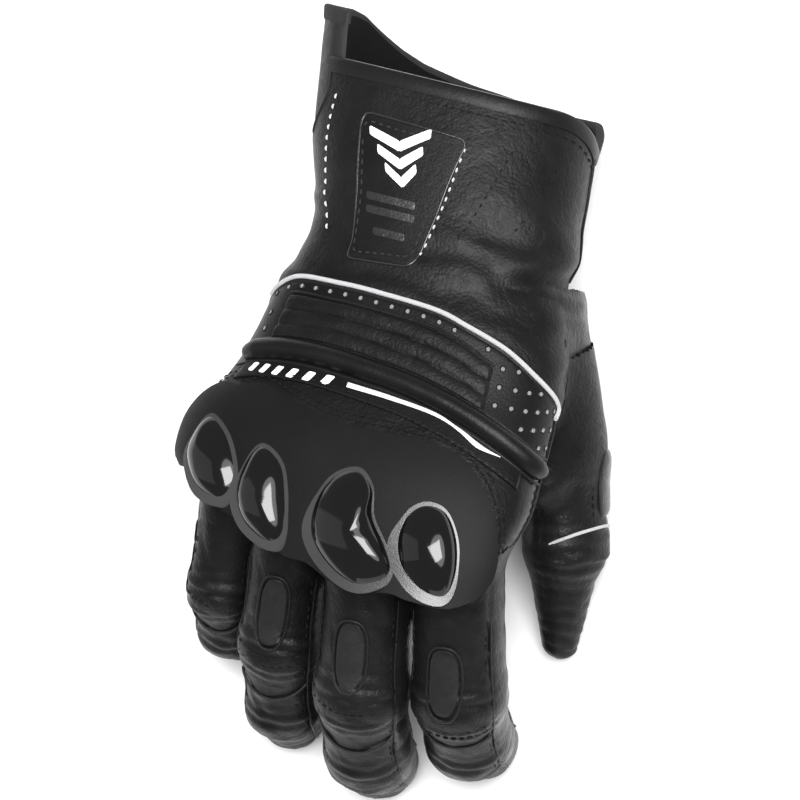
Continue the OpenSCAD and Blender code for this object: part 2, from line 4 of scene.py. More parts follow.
import bpy
import numpy as np
from mathutils import Matrix, Vector


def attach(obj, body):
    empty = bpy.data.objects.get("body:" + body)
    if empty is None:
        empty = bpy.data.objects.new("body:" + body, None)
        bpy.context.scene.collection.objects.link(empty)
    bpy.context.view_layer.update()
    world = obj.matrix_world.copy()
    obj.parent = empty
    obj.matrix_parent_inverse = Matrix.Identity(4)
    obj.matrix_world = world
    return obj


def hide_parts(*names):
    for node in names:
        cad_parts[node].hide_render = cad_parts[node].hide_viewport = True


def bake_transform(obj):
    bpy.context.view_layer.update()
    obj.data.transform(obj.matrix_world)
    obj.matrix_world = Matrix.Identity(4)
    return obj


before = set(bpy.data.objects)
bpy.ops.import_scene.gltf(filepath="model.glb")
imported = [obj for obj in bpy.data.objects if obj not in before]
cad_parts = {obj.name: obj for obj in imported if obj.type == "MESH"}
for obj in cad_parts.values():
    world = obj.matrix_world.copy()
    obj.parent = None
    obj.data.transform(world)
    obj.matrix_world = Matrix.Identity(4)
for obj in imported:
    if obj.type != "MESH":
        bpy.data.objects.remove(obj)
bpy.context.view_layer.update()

# ---------------------------------------------------------------- measures (mm, design frame)
ORIGIN = np.array([14.8515, -3.60326, 0.0])      # design frame minus this is the row frame
POWER = 2.35                                     # superellipse of the hand's section
STATIONS = np.array([                            # y, centre x, half width, centre z, half height, tilt
    [-54, 12, 52.5, 67.44, 18.5, 7], [-38, 12.5, 52.5, 67.44, 18.5, 7],
    [-18, 11.9, 51.9, 64.44, 19, 5.6], [5.2, 14.5, 46.6, 56.22, 19.25, 3.5],
    [26, 14.5, 42.5, 51, 20, 2.1], [42, 14, 37.5, 47, 20, 0.7],
    [70, 7.4, 40.1, 37.95, 25.25, 0], [92, 4, 41.5, 30.9, 28.5, 0], [113, 0, 41.5, 29.7, 27.3, 0]], float)
FINGERS = {  # joints mcp, pip, dip, tip centre; radii there
    "index": ([[46.1, -38, 68.59], [50.7, -75.97, 48.40], [50.7, -88.17, 25.44], [50.7, -89.44, 11.3]],
              [13, 13.2, 11.8, 10.9]),
    "middle": ([[20, -38, 69.94], [23, -81.85, 50.42], [23, -98.48, 26.66], [23, -101.71, 11.8]],
               [12.6, 13.0, 12.0, 11.3]),
    "ring": ([[-5.4, -34, 62.39], [-5.4, -74.2, 44.49], [-5.4, -91.55, 23.81], [-5.4, -95.3, 10.1]],
             [11.3, 11.3, 10.3, 9.7]),
    "little": ([[-27.3, -30, 55.2], [-27.3, -63.53, 39.56], [-27.3, -74.03, 21.37], [-27.3, -75.84, 8.8]],
               [9.6, 9.3, 8.7, 8.3]),
    "thumb": ([[50.5, 20, 36], [58.13, -3.12, 28.46], [63, -28.18, 19.67], [65.4, -55.6, 7.2]],
              [10.4, 11.6, 11.8, 5.4]),
}
ROOT = {"index": 0, "middle": 0, "ring": 0, "little": 0, "thumb": 1}   # which joint the first hinge is


# ---------------------------------------------------------------- maths
def unit(v):
    v = np.asarray(v, float)
    return v / np.maximum(np.linalg.norm(v, axis=-1, keepdims=True), 1e-12)


def smooth(a, b, x):
    t = np.clip((x - a) / (b - a), 0, 1)
    return t * t * (3 - 2 * t)


def smin(a, b, k):
    h = np.maximum(k - np.abs(a - b), 0) / k
    return np.minimum(a, b) - h * h * k / 4


def smax(a, b, k):
    return -smin(-a, -b, k)


def gauss(x, w):
    return np.exp(-(x / w) ** 2)


WAVES = np.random.default_rng(7).normal(size=(24, 5))


def noise(p, size, seed=0):
    """Smooth noise from -1 to 1 from a few fixed waves; size is the wave length in mm."""
    p = np.asarray(p, float)
    out = np.zeros(p.shape[:-1])
    for k in range(6):
        w = WAVES[(seed * 5 + k) % 24]
        q = p @ unit(w[:3]) * (2 * math.pi / size) * (0.7 + 0.12 * k)
        out = out + np.sin(q + 7 * w[3] + 1.3 * np.sin(0.61 * q + 5 * w[4]))
    return out / 3.2


def section(y):
    """The hand's section at y, from STATIONS by a smooth curve."""
    ys, val = STATIONS[:, 0], STATIONS[:, 1:]
    slope = np.gradient(val, ys, axis=0)
    slope[1:-1] = (val[2:] - val[:-2]) / (ys[2:] - ys[:-2])[:, None]
    y = np.clip(np.asarray(y, float), ys[0], ys[-1])
    i = np.clip(np.searchsorted(ys, y, side="right") - 1, 0, len(ys) - 2)
    h = ys[i + 1] - ys[i]
    t = ((y - ys[i]) / h)[..., None]
    h = h[..., None]
    return ((2 * t**3 - 3 * t**2 + 1) * val[i] + (t**3 - 2 * t**2 + t) * h * slope[i]
            + (3 * t**2 - 2 * t**3) * val[i + 1] + (t**3 - t**2) * h * slope[i + 1])


def middle_at(y):
    """Middle of the hand's section at y."""
    c = section(y)
    return np.stack([c[:, 0], y, c[:, 2]], -1)


def hs(y, a, off=0.0):
    """Point on the hand's surface at length y and angle a, off mm out.
    Angle 0 is the thumb side, 90 the back, 180 the outer side, 270 the palm."""
    y, a, off = np.broadcast_arrays(np.asarray(y, float), np.asarray(a, float), np.asarray(off, float))
    s = section(y)
    th, tau = np.radians(a), np.radians(s[..., 4])
    sp = lambda v: np.sign(v) * np.abs(v) ** (2 / POWER)
    u, w = (s[..., 1] + off) * sp(np.cos(th)), (s[..., 3] + off) * sp(np.sin(th))
    return np.stack([s[..., 0] + u * np.cos(tau) - w * np.sin(tau), y,
                     s[..., 2] + u * np.sin(tau) + w * np.cos(tau)], -1)


def loft(p):
    """Distance from the hand's plain shape."""
    s = section(p[:, 1])
    tau = np.radians(s[:, 4])
    dx, dz = p[:, 0] - s[:, 0], p[:, 2] - s[:, 2]
    u = np.abs(dx * np.cos(tau) + dz * np.sin(tau)) / s[:, 1] + 1e-6
    w = np.abs(-dx * np.sin(tau) + dz * np.cos(tau)) / s[:, 3] + 1e-6
    f = (u**POWER + w**POWER) ** (1 / POWER)
    g = np.hypot(u ** (POWER - 1) / s[:, 1], w ** (POWER - 1) / s[:, 3]) * f ** (1 - POWER)
    return (f - 1) / np.maximum(g, 0.012)


def cone(p, a, b, ra, rb):
    """Distance from a rounded cone between a and b."""
    a, b = np.asarray(a, float), np.asarray(b, float)
    t = np.clip((p - a) @ (b - a) / ((b - a) @ (b - a)), 0, 1)
    return np.linalg.norm(p - a - t[:, None] * (b - a), axis=1) - (ra + (rb - ra) * t)


def hood(x):
    """y of the hand's front edge over the knuckles."""
    return np.interp(x, [-42, -36, -26, -8, 20, 44, 58, 66], [-24, -31, -39, -46.5, -50.5, -50, -44, -34])


def palm_bulge(p):
    """The ball of the thumb and the heel of the palm."""
    d = cone(p, [42, 34, 37], [53, 4, 31], 15, 14)
    d = smin(d, cone(p, [52, 12, 37], [57, -13, 36], 9, 7.5), 8)
    return smin(d, cone(p, [-10, 22, 38], [-16, -4, 46], 15, 13), 6)


# the webs between the finger roots: ends and radii
WEBS = [([33, -40, 62], [32.8, -50.5, 57.5], 8, 5.4), ([6.8, -38, 60], [5.6, -47.5, 55], 8, 5),
        ([-17, -34, 54], [-18.3, -43, 48.5], 7, 4.6)]


def hand(p):
    """Distance from the hand's leather, cut off flat inside the cuff."""
    d = loft(p)
    d = smin(d, palm_bulge(p), 9)
    front = (hood(p[:, 0]) + 0.42 * np.maximum(84 - p[:, 2], -4) - p[:, 1]) * 0.92
    d = smax(d, front, 11)
    for a, b, ra, rb in WEBS:
        d = smin(d, cone(p, a, b, ra, rb), 4)
    return smax(d, p[:, 1] - 44, 2)


class Chain:
    """A finger: bones between joints, and the frame round them."""

    def __init__(self, name):
        pts, radii = FINGERS[name]
        self.name, self.p, self.r = name, np.array(pts, float), np.array(radii, float)
        self.len = np.linalg.norm(np.diff(self.p, axis=0), axis=1)
        self.dir = np.diff(self.p, axis=0) / self.len[:, None]
        self.at = np.concatenate([[0], np.cumsum(self.len)])
        self.root = self.at[ROOT[name]]
        self.side = np.array([1.0, 0, 0]) if name != "thumb" else unit([0.75, 0.1, -0.65])

    def d(self, p):
        out = cone(p, self.p[0], self.p[1], self.r[0], self.r[1])
        for k in (1, 2):
            out = smin(out, cone(p, self.p[k], self.p[k + 1], self.r[k], self.r[k + 1]), 3.5)
        return out

    def field(self, p):
        return smin(hand(p), self.d(p), 7)

    def frame(self, v):
        v = np.asarray(v, float)
        c = np.stack([np.interp(v, self.at, self.p[:, k]) for k in range(3)], -1)
        c = c + np.maximum(v - self.at[-1], 0)[..., None] * self.dir[-1]
        t = np.broadcast_to(self.dir[0], c.shape)
        for k in (1, 2):
            t = t + smooth(self.at[k] - 9, self.at[k] + 9, v)[..., None] * (self.dir[k] - self.dir[k - 1])
        t = unit(t)
        e = unit(self.side - (t @ self.side)[..., None] * t)
        return c, t, np.cross(t, e), e, np.interp(v, self.at, self.r)

    def surface(self, v, th, off=0.0):
        """Point at length v and angle th from the back of the finger (positive to the thumb side)."""
        c, t, d, e, r = self.frame(v)
        th = np.radians(th)
        q = np.cos(th)[..., None] * d + np.sin(th)[..., None] * e
        return c + (r + off)[..., None] * q

    def where(self, p):
        """Length along the finger and angle round it of points."""
        best, out = np.full(len(p), 1e9), np.zeros(len(p))
        for k in range(3):
            t = (p - self.p[k]) @ self.dir[k]
            tc = np.clip(t, -30 if k == 0 else 0, self.len[k] + (30 if k == 2 else 0))
            d = np.linalg.norm(p - self.p[k] - tc[:, None] * self.dir[k], axis=1)
            near = d < best
            best[near], out[near] = d[near], (self.at[k] + tc)[near]
        c, t, d, e, r = self.frame(out)
        q = p - c
        return out, np.degrees(np.arctan2((q * e).sum(1), (q * d).sum(1)))


CHAINS = {n: Chain(n) for n in FINGERS}


def grad(f, p, e=0.25):
    g = np.empty_like(p)
    for k in range(3):
        step = np.zeros(3)
        step[k] = e
        g[:, k] = (f(p + step) - f(p - step)) / (2 * e)
    return g


def lift(p, off, f, rounds=3):
    """Moves points to the level off of field f. Returns them and the surface normals."""
    p = np.array(p, float).reshape(-1, 3)
    off = np.broadcast_to(np.asarray(off, float), (len(p),))
    for _ in range(rounds):
        g = grad(f, p)
        size = np.linalg.norm(g, axis=1).clip(0.35)
        p = p - g / size[:, None] * np.clip((f(p) - off) / size, -6, 6)[:, None]
    return p, unit(grad(f, p))


# ---------------------------------------------------------------- meshes from fields
def nets(f, lo, hi, h):
    """Surface nets: a quad mesh of f = 0, with its points moved onto the surface and evened out."""
    n0, n1 = np.floor(np.array(lo) / h).astype(int), np.ceil(np.array(hi) / h).astype(int)
    ax = [np.arange(a, b + 1) * h for a, b in zip(n0, n1)]
    shape = tuple(len(a) for a in ax)
    p = np.stack(np.meshgrid(*ax, indexing="ij"), -1).reshape(-1, 3)
    v = np.concatenate([f(c) for c in np.array_split(p, max(1, len(p) // 200000))]).reshape(shape)
    inside = v < 0
    corner = [(i, j, k) for i in (0, 1) for j in (0, 1) for k in (0, 1)]
    cut = lambda a, c: a[c[0]:shape[0] - 1 + c[0], c[1]:shape[1] - 1 + c[1], c[2]:shape[2] - 1 + c[2]]
    count = sum(cut(inside, c).astype(int) for c in corner)
    active = (count > 0) & (count < 8)
    index = np.full(active.shape, -1)
    index[active] = np.arange(active.sum())
    where = np.argwhere(active)
    total, hits = np.zeros((len(where), 3)), np.zeros(len(where))
    for a in corner:
        for axis in range(3):
            if a[axis]:
                continue
            b = list(a)
            b[axis] = 1
            va, vb = cut(v, a)[active], cut(v, b)[active]
            cross = (va < 0) != (vb < 0)
            t = np.where(cross, va / np.where(cross, va - vb, 1), 0)
            at = np.array(a, float)[None] + t[:, None] * np.eye(3)[axis]
            total += at * cross[:, None]
            hits += cross
    pos = (where + total / hits[:, None] + n0) * h
    quads = []
    for axis in range(3):
        o1, o2 = (axis + 1) % 3, (axis + 2) % 3
        s0 = [slice(None)] * 3
        s1 = [slice(None)] * 3
        s0[axis], s1[axis] = slice(0, -1), slice(1, None)
        ia, ib = inside[tuple(s0)], inside[tuple(s1)]
        edge = np.argwhere(ia != ib)
        edge = edge[(edge[:, o1] > 0) & (edge[:, o2] > 0) & (edge[:, o1] < shape[o1] - 1)
                    & (edge[:, o2] < shape[o2] - 1)]
        four = []
        for d1, d2 in ((-1, -1), (0, -1), (0, 0), (-1, 0)):
            e = edge.copy()
            e[:, o1] += d1
            e[:, o2] += d2
            four.append(index[e[:, 0], e[:, 1], e[:, 2]])
        q = np.stack(four, 1)
        flip = ~ia[edge[:, 0], edge[:, 1], edge[:, 2]]
        q[flip] = q[flip][:, ::-1]
        quads.append(q)
    quads = np.concatenate(quads)
    quads = quads[(quads >= 0).all(1)]
    for _ in range(3):
        pos = project(f, pos)
        acc, n = np.zeros_like(pos), np.zeros(len(pos))
        for k in range(4):
            a, b = quads[:, k], quads[:, (k + 1) % 4]
            np.add.at(acc, a, pos[b])
            np.add.at(acc, b, pos[a])
            np.add.at(n, a, 1)
            np.add.at(n, b, 1)
        pos = np.where(n[:, None] > 0, 0.4 * pos + 0.6 * acc / np.maximum(n, 1)[:, None], pos)
    return project(f, project(f, pos)), quads


def project(f, p):
    g = grad(f, p)
    g2 = np.maximum((g * g).sum(1), 0.1)
    return p - g * np.clip(f(p) / g2, -2, 2)[:, None]


def point_normals(p, quads):
    n = np.zeros_like(p)
    face = np.cross(p[quads[:, 2]] - p[quads[:, 0]], p[quads[:, 3]] - p[quads[:, 1]])
    for k in range(4):
        np.add.at(n, quads[:, k], face)
    return unit(n)


# ---------------------------------------------------------------- building pieces
class Part:
    """Collects verts, faces and materials, then makes one object."""

    def __init__(self, name):
        self.name, self.v, self.f, self.m, self.n, self.mats = name, [], [], [], [], []
        self.count = 0

    def add(self, v, f, mat, normals=None):
        v = np.asarray(v, float).reshape(-1, 3)
        if mat.name not in [x.name for x in self.mats]:
            self.mats.append(mat)
        slot = [x.name for x in self.mats].index(mat.name)
        self.v.append(v)
        self.f += [tuple(int(i) + self.count for i in q) for q in f]
        self.m += [slot] * len(f)
        self.n.append(np.zeros_like(v) if normals is None else normals)
        self.count += len(v)
        return self

    def make(self, rides, slot=None, stands_for=(), padded=None, crease=40):
        v = (np.concatenate(self.v) - ORIGIN) / 1000
        me = bpy.data.meshes.new(self.name)
        me.from_pydata(v.tolist(), [], self.f)
        me.polygons.foreach_set("material_index", self.m)
        me.polygons.foreach_set("use_smooth", [True] * len(me.polygons))
        for m in self.mats:
            me.materials.append(m)
        me.update()
        ob = bpy.data.objects.new(self.name, me)
        bpy.context.scene.collection.objects.link(ob)
        n = np.concatenate(self.n)
        if np.abs(n).sum() > 0:
            me.normals_split_custom_set_from_vertices(n.tolist())
        elif crease:
            me.set_sharp_from_angle(angle=math.radians(crease))
        if isinstance(rides, str):
            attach(ob, rides)
        else:
            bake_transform(ob)
        if stands_for:
            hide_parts(*stands_for)
        return ob


def grid_faces(rows, cols, wrap=False):
    """Faces of a rows x cols grid of points; wrap joins the last column to the first."""
    f = []
    for i in range(rows - 1):
        for j in range(cols if wrap else cols - 1):
            k = (j + 1) % cols
            f.append((i * cols + j, i * cols + k, (i + 1) * cols + k, (i + 1) * cols + j))
    return f


def outward(v, f, n):
    """Flips faces if they face against the mean of the normals n."""
    v = np.asarray(v)
    q = f[len(f) // 2]
    fn = np.cross(v[q[1]] - v[q[0]], v[q[2]] - v[q[0]])
    return [tuple(reversed(x)) for x in f] if fn @ n[q[0]] < 0 else f


def sweep(p, n, profile, scale=None, closed=False, caps=True):
    """A profile of (across, up) points swept along p with surface normals n."""
    p, n = np.asarray(p, float), np.asarray(n, float)
    if closed:
        t = unit(np.roll(p, -1, 0) - np.roll(p, 1, 0))
    else:
        t = unit(np.gradient(p, axis=0))
    b = unit(np.cross(t, n))
    n = np.cross(b, t)
    scale = np.ones(len(p)) if scale is None else np.asarray(scale, float)
    pr = np.asarray(profile, float)
    ring = (p[:, None] + b[:, None] * pr[None, :, :1] * scale[:, None, None]
            + n[:, None] * pr[None, :, 1:] * scale[:, None, None])
    v = ring.reshape(-1, 3)
    m = len(pr)
    f = grid_faces(len(p), m, wrap=True)
    if closed:
        last = (len(p) - 1) * m
        f += [(last + j, last + (j + 1) % m, (j + 1) % m, j) for j in range(m)]
    elif caps:
        f += [tuple(range(m))[::-1], tuple(range((len(p) - 1) * m, len(p) * m))]
    c = p[len(p) // 2]
    q = f[(len(p) // 2) * m if len(p) > 2 else 0]
    fn = np.cross(v[q[1]] - v[q[0]], v[q[2]] - v[q[0]])
    mid = v[list(q)].mean(0)
    near = p[np.argmin(((p - mid) ** 2).sum(1))]
    if fn @ (mid - near) < 0:
        f = [tuple(reversed(x)) for x in f]
    return v, f


def round_profile(w, h, low=-0.3, n=9):
    """A domed strip, w wide and h high, that starts low under the surface."""
    a = np.linspace(0, math.pi, n)
    top = [(w / 2 * math.cos(x), h * math.sin(x)) for x in a]
    return [(w / 2, low)] + top + [(-w / 2, low)]


def tube_profile(r, n=8):
    turn = np.arange(n) * 2 * math.pi / n
    return np.stack([r * np.cos(turn), r * np.sin(turn)], -1)


def lengths(p):
    """Length along a line at each of its points."""
    return np.concatenate([[0], np.cumsum(np.linalg.norm(np.diff(p, axis=0), axis=1))])


def resample(p, step, closed=False):
    p = np.asarray(p, float)
    if closed:
        p = np.vstack([p, p[:1]])
    d = lengths(p)
    n = max(3, int(round(d[-1] / step)) + 1)
    s = np.linspace(0, d[-1], n)
    out = np.stack([np.interp(s, d, p[:, k]) for k in range(p.shape[1])], -1)
    return out[:-1] if closed else out


def spline(points, closed=False, per=10):
    """Catmull-Rom curve through points."""
    p = np.asarray(points, float)
    q = np.vstack([p[-1:], p, p[:2]]) if closed else np.vstack([2 * p[0] - p[1], p, 2 * p[-1] - p[-2]])
    out = []
    for i in range(1, len(q) - 2):
        a, b, c, d = q[i - 1:i + 3]
        t = np.linspace(0, 1, per, endpoint=False)[:, None]
        out.append(0.5 * (2 * b + (c - a) * t + (2 * a - 5 * b + 4 * c - d) * t**2
                          + (3 * b - a - 3 * c + d) * t**3))
    out = np.vstack(out)
    return out if closed else np.vstack([out, p[-1:]])


# charts: (u, v) in mm to a point on a surface
ARC_A = np.arange(-60, 421, 0.5)
ARC_S = lengths(hs(np.zeros(len(ARC_A)), ARC_A))


def s_of(a):
    return np.interp(a, ARC_A, ARC_S)


def pairs(u, v):
    return np.stack(np.broadcast_arrays(np.asarray(u, float), v), -1)


def ay(points):
    """Chart points from (angle, y)."""
    p = np.asarray(points, float)
    return pairs(s_of(p[:, 0]), p[:, 1])


def line_a(fn, a0, a1, n=160):
    """A chart line from angle a0 to a1 at y = fn(angle)."""
    aa = np.linspace(a0, a1, n)
    return pairs(s_of(aa), fn(aa))


class HandChart:
    """u is the length round the hand, v is y. Points lie on the loft, or on the full hand field."""

    def __init__(self, field=None):
        self.f = field

    def __call__(self, u, v, off):
        p = hs(v, np.interp(u, ARC_S, ARC_A), off)
        if self.f is not None:
            return lift(p, off, self.f)
        a = np.interp(u, ARC_S, ARC_A)
        q = hs(v + 0.4, a, off) - hs(v - 0.4, a, off)
        r = hs(v, np.interp(u + 0.4, ARC_S, ARC_A), off) - hs(v, np.interp(u - 0.4, ARC_S, ARC_A), off)
        return p, unit(np.cross(q, r))


class FingerChart:
    """u is the length round the finger from its back, v the length along it."""

    def __init__(self, chain):
        self.c = chain

    def __call__(self, u, v, off):
        r = np.interp(v, self.c.at, self.c.r)
        return lift(self.c.surface(v, np.degrees(u / r)), off, self.c.d)


def dome(chart, outline, height, centre=None, edge=(0, 0.35, 0.8, 1.4, 2.2, 3.2), rings=14, low=-0.5):
    """A patch inside a closed outline of chart points, on rings from the edge to the centre.
    height(d, uv) is the level at distance d inside the edge. Returns verts, faces and normals."""
    o = np.asarray(outline, float)
    c = o.mean(0) if centre is None else np.asarray(centre, float)
    reach = np.linalg.norm(o - c, axis=1)
    inward = (c - o) / reach[:, None]
    rows, dist = [o], [np.zeros(len(o))]
    limit = reach.min() * 0.6
    edge = [e for e in edge if e < limit]
    for e in edge[1:]:
        rows.append(o + inward * e)
        dist.append(np.full(len(o), e))
    left = reach - edge[-1]
    for k in range(1, rings):
        rows.append(o + inward * (edge[-1] + left * k / rings)[:, None])
        dist.append(edge[-1] + left * k / rings)
    count = len(rows) + 1
    rows.append(c[None])
    dist.append(np.array([reach.min()]))
    uv, d = np.concatenate(rows), np.concatenate(dist)
    # distance to the outline, not along the spoke
    seg = np.concatenate([o, o[:1]])
    true = np.min(np.linalg.norm(uv[:, None] - seg[None, :-1], axis=2), axis=1)
    d = np.where(d < 1e-9, 0, np.minimum(d, true))
    off = height(d, uv)
    p, n = chart(uv[:, 0], uv[:, 1], off)
    under, nu = chart(o[:, 0], o[:, 1], np.full(len(o), low))
    p, n = np.vstack([under, p]), np.vstack([nu, n])
    m = len(o)
    f = grid_faces(count, m, wrap=True)
    last = (count - 1) * m
    f += [(last + k, last + (k + 1) % m, last + m) for k in range(m)]
    return p, outward(p, f[m * 2:] + f[:m * 2], n), n


def puff(h, edge, base=0.0, power=0.5):
    """Height that rises from base at the rim to base + h at edge mm inside it."""
    def height(d, uv):
        t = np.clip(d / edge, 0, 1)
        return base + h * (1 - (1 - t) ** 2) ** power
    return height


def path_on(chart, uv, off, step=0.8, closed=False):
    uv = resample(uv, step, closed)
    return chart(uv[:, 0], uv[:, 1], np.full(len(uv), off))


def stitch_row(part, chart, uv, mat, gap=3.0, length=2.0, r=0.28, off=0.12, closed=False):
    """Single stitches along a path: short threads that dip at both ends."""
    fine = resample(uv, 0.25, closed)
    d = lengths(fine)
    starts = np.arange(gap / 2, d[-1] - length, gap)
    if not len(starts):
        return
    t = np.linspace(0, 1, 5)
    s = (starts[:, None] + length * t[None]).ravel()
    q = np.stack([np.interp(s, d, fine[:, k]) for k in (0, 1)], -1)
    p, n = chart(q[:, 0], q[:, 1], np.full(len(q), off))
    p, n = p.reshape(-1, 5, 3), n.reshape(-1, 5, 3)
    size, dip = [0.45, 0.9, 1.0, 0.9, 0.45], np.array([[0.25, 0, -0.05, 0, 0.25]]).T
    for pk, nk in zip(p, n):
        part.add(*sweep(pk - nk * dip, nk, tube_profile(r, 6), size), mat)


# ---------------------------------------------------------------- materials
def material(name):
    m = bpy.data.materials.new(name)
    m.use_nodes = True
    nt = m.node_tree
    nt.nodes.clear()
    sh = nt.nodes.new("ShaderNodeBsdfPrincipled")
    nt.links.new(sh.outputs[0], nt.nodes.new("ShaderNodeOutputMaterial").inputs[0])
    return m, nt, sh


def node(nt, kind, **values):
    n = nt.nodes.new(kind)
    for k, v in values.items():
        if k in n.inputs:
            n.inputs[k].default_value = v
        else:
            setattr(n, k, v)
    return n


def ramp(nt, source, stops):
    r = nt.nodes.new("ShaderNodeValToRGB")
    nt.links.new(source, r.inputs[0])
    el = r.color_ramp.elements
    while len(el) < len(stops):
        el.new(0.5)
    for e, (at, c) in zip(el, stops):
        e.position = at
        e.color = (c, c, c, 1) if isinstance(c, (int, float)) else (*c, 1)
    return r.outputs[0]


def textures(nt, *kinds):
    """Texture nodes on the object's own coordinates."""
    pos = nt.nodes.new("ShaderNodeTexCoord").outputs["Object"]
    out = [node(nt, "ShaderNodeTex" + kind, **values) for kind, values in kinds]
    for t in out:
        nt.links.new(pos, t.inputs["Vector"])
    return out


def two_tone(nt, sh, share, dark, light):
    tone = node(nt, "ShaderNodeMix", data_type="RGBA")
    for socket, colour in ((6, dark), (7, light)):
        tone.inputs[socket].default_value = (*(colour if isinstance(colour, tuple) else (colour,) * 3), 1)
    nt.links.new(share, tone.inputs[0])
    nt.links.new(tone.outputs[2], sh.inputs["Base Color"])


def roughness(nt, sh, source, low, high, start=0.0, end=1.0):
    span = {"From Min": start, "From Max": end, "To Min": low, "To Max": high}
    rr = node(nt, "ShaderNodeMapRange", **span)
    nt.links.new(source, rr.inputs["Value"])
    nt.links.new(rr.outputs[0], sh.inputs["Roughness"])


def bumps(nt, sh, *layers):
    """Bump layers (source, strength, distance), each on top of the one before."""
    last = None
    for source, strength, distance in layers:
        b = node(nt, "ShaderNodeBump", Strength=strength, Distance=distance)
        nt.links.new(source, b.inputs["Height"])
        if last:
            nt.links.new(last.outputs[0], b.inputs["Normal"])
        last = b
    nt.links.new(last.outputs[0], sh.inputs["Normal"])


def leather(name, dark, light, rough, grain=1100, bump=0.35, crease=0.5, spec=0.13):
    """Fine-grained leather: pebbled grain, soft creases, worn lighter on its ridges."""
    m, nt, sh = material(name)
    cells, wrinkle, broad = textures(
        nt, ("Voronoi", dict(feature="SMOOTH_F1", Scale=grain, Smoothness=0.6)),
        ("Noise", dict(Scale=grain * 0.22, Detail=5, Roughness=0.62, Distortion=0.8)),
        ("Noise", dict(Scale=38, Detail=3, Roughness=0.5)))
    edge = ramp(nt, nt.nodes.new("ShaderNodeNewGeometry").outputs["Pointiness"], [(0.50, 0.0), (0.58, 1.0)])
    mix = node(nt, "ShaderNodeMath", operation="MULTIPLY_ADD")
    nt.links.new(edge, mix.inputs[0])
    mix.inputs[1].default_value = 0.55
    nt.links.new(ramp(nt, broad.outputs["Fac"], [(0.35, 0.0), (0.7, 0.45)]), mix.inputs[2])
    two_tone(nt, sh, mix.outputs[0], dark, light)
    roughness(nt, sh, wrinkle.outputs["Fac"], *rough, 0.3, 0.7)
    bumps(nt, sh, (cells.outputs["Distance"], bump, 0.00025), (wrinkle.outputs["Fac"], crease, 0.0006))
    sh.inputs["Specular IOR Level"].default_value = spec
    return m


def fabric(name, dark, light, thread=3200, rough=0.6, bump=0.6, sheen=0.0):
    """Knit or woven cloth: two crossed sets of threads with fuzz."""
    m, nt, sh = material(name)
    bands = [dict(Scale=thread, Distortion=0.6, wave_type="BANDS", bands_direction=d) for d in "XY"]
    a, b, fuzz = textures(nt, ("Wave", bands[0]), ("Wave", bands[1]), ("Noise", dict(Scale=2600, Detail=3)))
    most, height = [node(nt, "ShaderNodeMath", operation=kind) for kind in ("MAXIMUM", "ADD")]
    nt.links.new(a.outputs["Fac"], most.inputs[0])
    nt.links.new(b.outputs["Fac"], most.inputs[1])
    nt.links.new(most.outputs[0], height.inputs[0])
    nt.links.new(fuzz.outputs["Fac"], height.inputs[1])
    two_tone(nt, sh, most.outputs[0], dark, light)
    bumps(nt, sh, (height.outputs[0], bump, 0.0003))
    roughness(nt, sh, fuzz.outputs["Fac"], rough - 0.12, min(1.0, rough + 0.08))
    sh.inputs["Sheen Weight"].default_value = sheen
    sh.inputs["Specular IOR Level"].default_value = 0.15
    return m


def plastic(name, dark, light, rough, fine, bump, spec=0.5):
    """Rubber, hard plastic or print."""
    m, nt, sh = material(name)
    grain, broad = textures(nt, ("Noise", dict(Scale=fine, Detail=4, Roughness=0.55)),
                            ("Noise", dict(Scale=60, Detail=2)))
    two_tone(nt, sh, broad.outputs["Fac"], dark, light)
    roughness(nt, sh, grain.outputs["Fac"], *rough)
    bumps(nt, sh, (grain.outputs["Fac"], bump, 0.0004))
    sh.inputs["Specular IOR Level"].default_value = spec
    return m


BLACK = leather("black_leather", (0.003, 0.003, 0.0032), (0.012, 0.012, 0.0127), (0.36, 0.52))
SIDE = leather("side_leather", (0.004, 0.004, 0.0042), (0.015, 0.015, 0.0158), (0.30, 0.44), 900, spec=0.16)
PALM = leather("palm_leather", (0.010, 0.010, 0.0105), (0.028, 0.028, 0.03), (0.5, 0.68), 1400, 0.25,
               spec=0.2)
SMOOTHL = leather("smooth_leather", (0.0035, 0.0035, 0.0037), (0.010, 0.010, 0.0105), (0.32, 0.42), 1500,
                  0.15, 0.15)
PADL = leather("pad_leather", (0.0035, 0.0035, 0.0037), (0.012, 0.012, 0.0125), (0.27, 0.36), 1300,
               0.2, 0.25, 0.6)
GUARD = plastic("guard_shell", (0.0045, 0.0045, 0.0047), (0.0075, 0.0075, 0.0078), (0.40, 0.52), 2600,
                0.25, 0.08)
GLOSS = plastic("gloss_insert", (0.002, 0.002, 0.0022), (0.004, 0.004, 0.0042), (0.06, 0.11), 300, 0.01, 0.42)
RIM = plastic("rim_rubber", (0.020, 0.020, 0.0205), (0.034, 0.034, 0.035), (0.2, 0.3), 1800, 0.1)
WHITE = plastic("white_print", (0.74, 0.74, 0.74), (0.84, 0.84, 0.84), (0.4, 0.55), 2400, 0.15)
PIPE = fabric("reflective_piping_cloth", (0.30, 0.30, 0.31), (0.52, 0.52, 0.53), 1800, 0.45, sheen=0.1)
GREY = fabric("hem_grey_cloth", 0.010, 0.028, 1300, 0.8)
LINING = fabric("lining_cloth", 0.0012, 0.003, 900, 0.9)
THREAD = fabric("black_thread", 0.004, 0.014)
MTHREAD = fabric("patch_thread", 0.014, 0.045)
LTHREAD = fabric("light_thread", 0.42, 0.75, sheen=0.25)
HOLE = fabric("hole_floor", 0.10, 0.26, 2600, 0.7, sheen=0.25)
HOOK = fabric("hook_loop_cloth", 0.012, 0.045, 1100, 0.95, 1.0, 0.25)

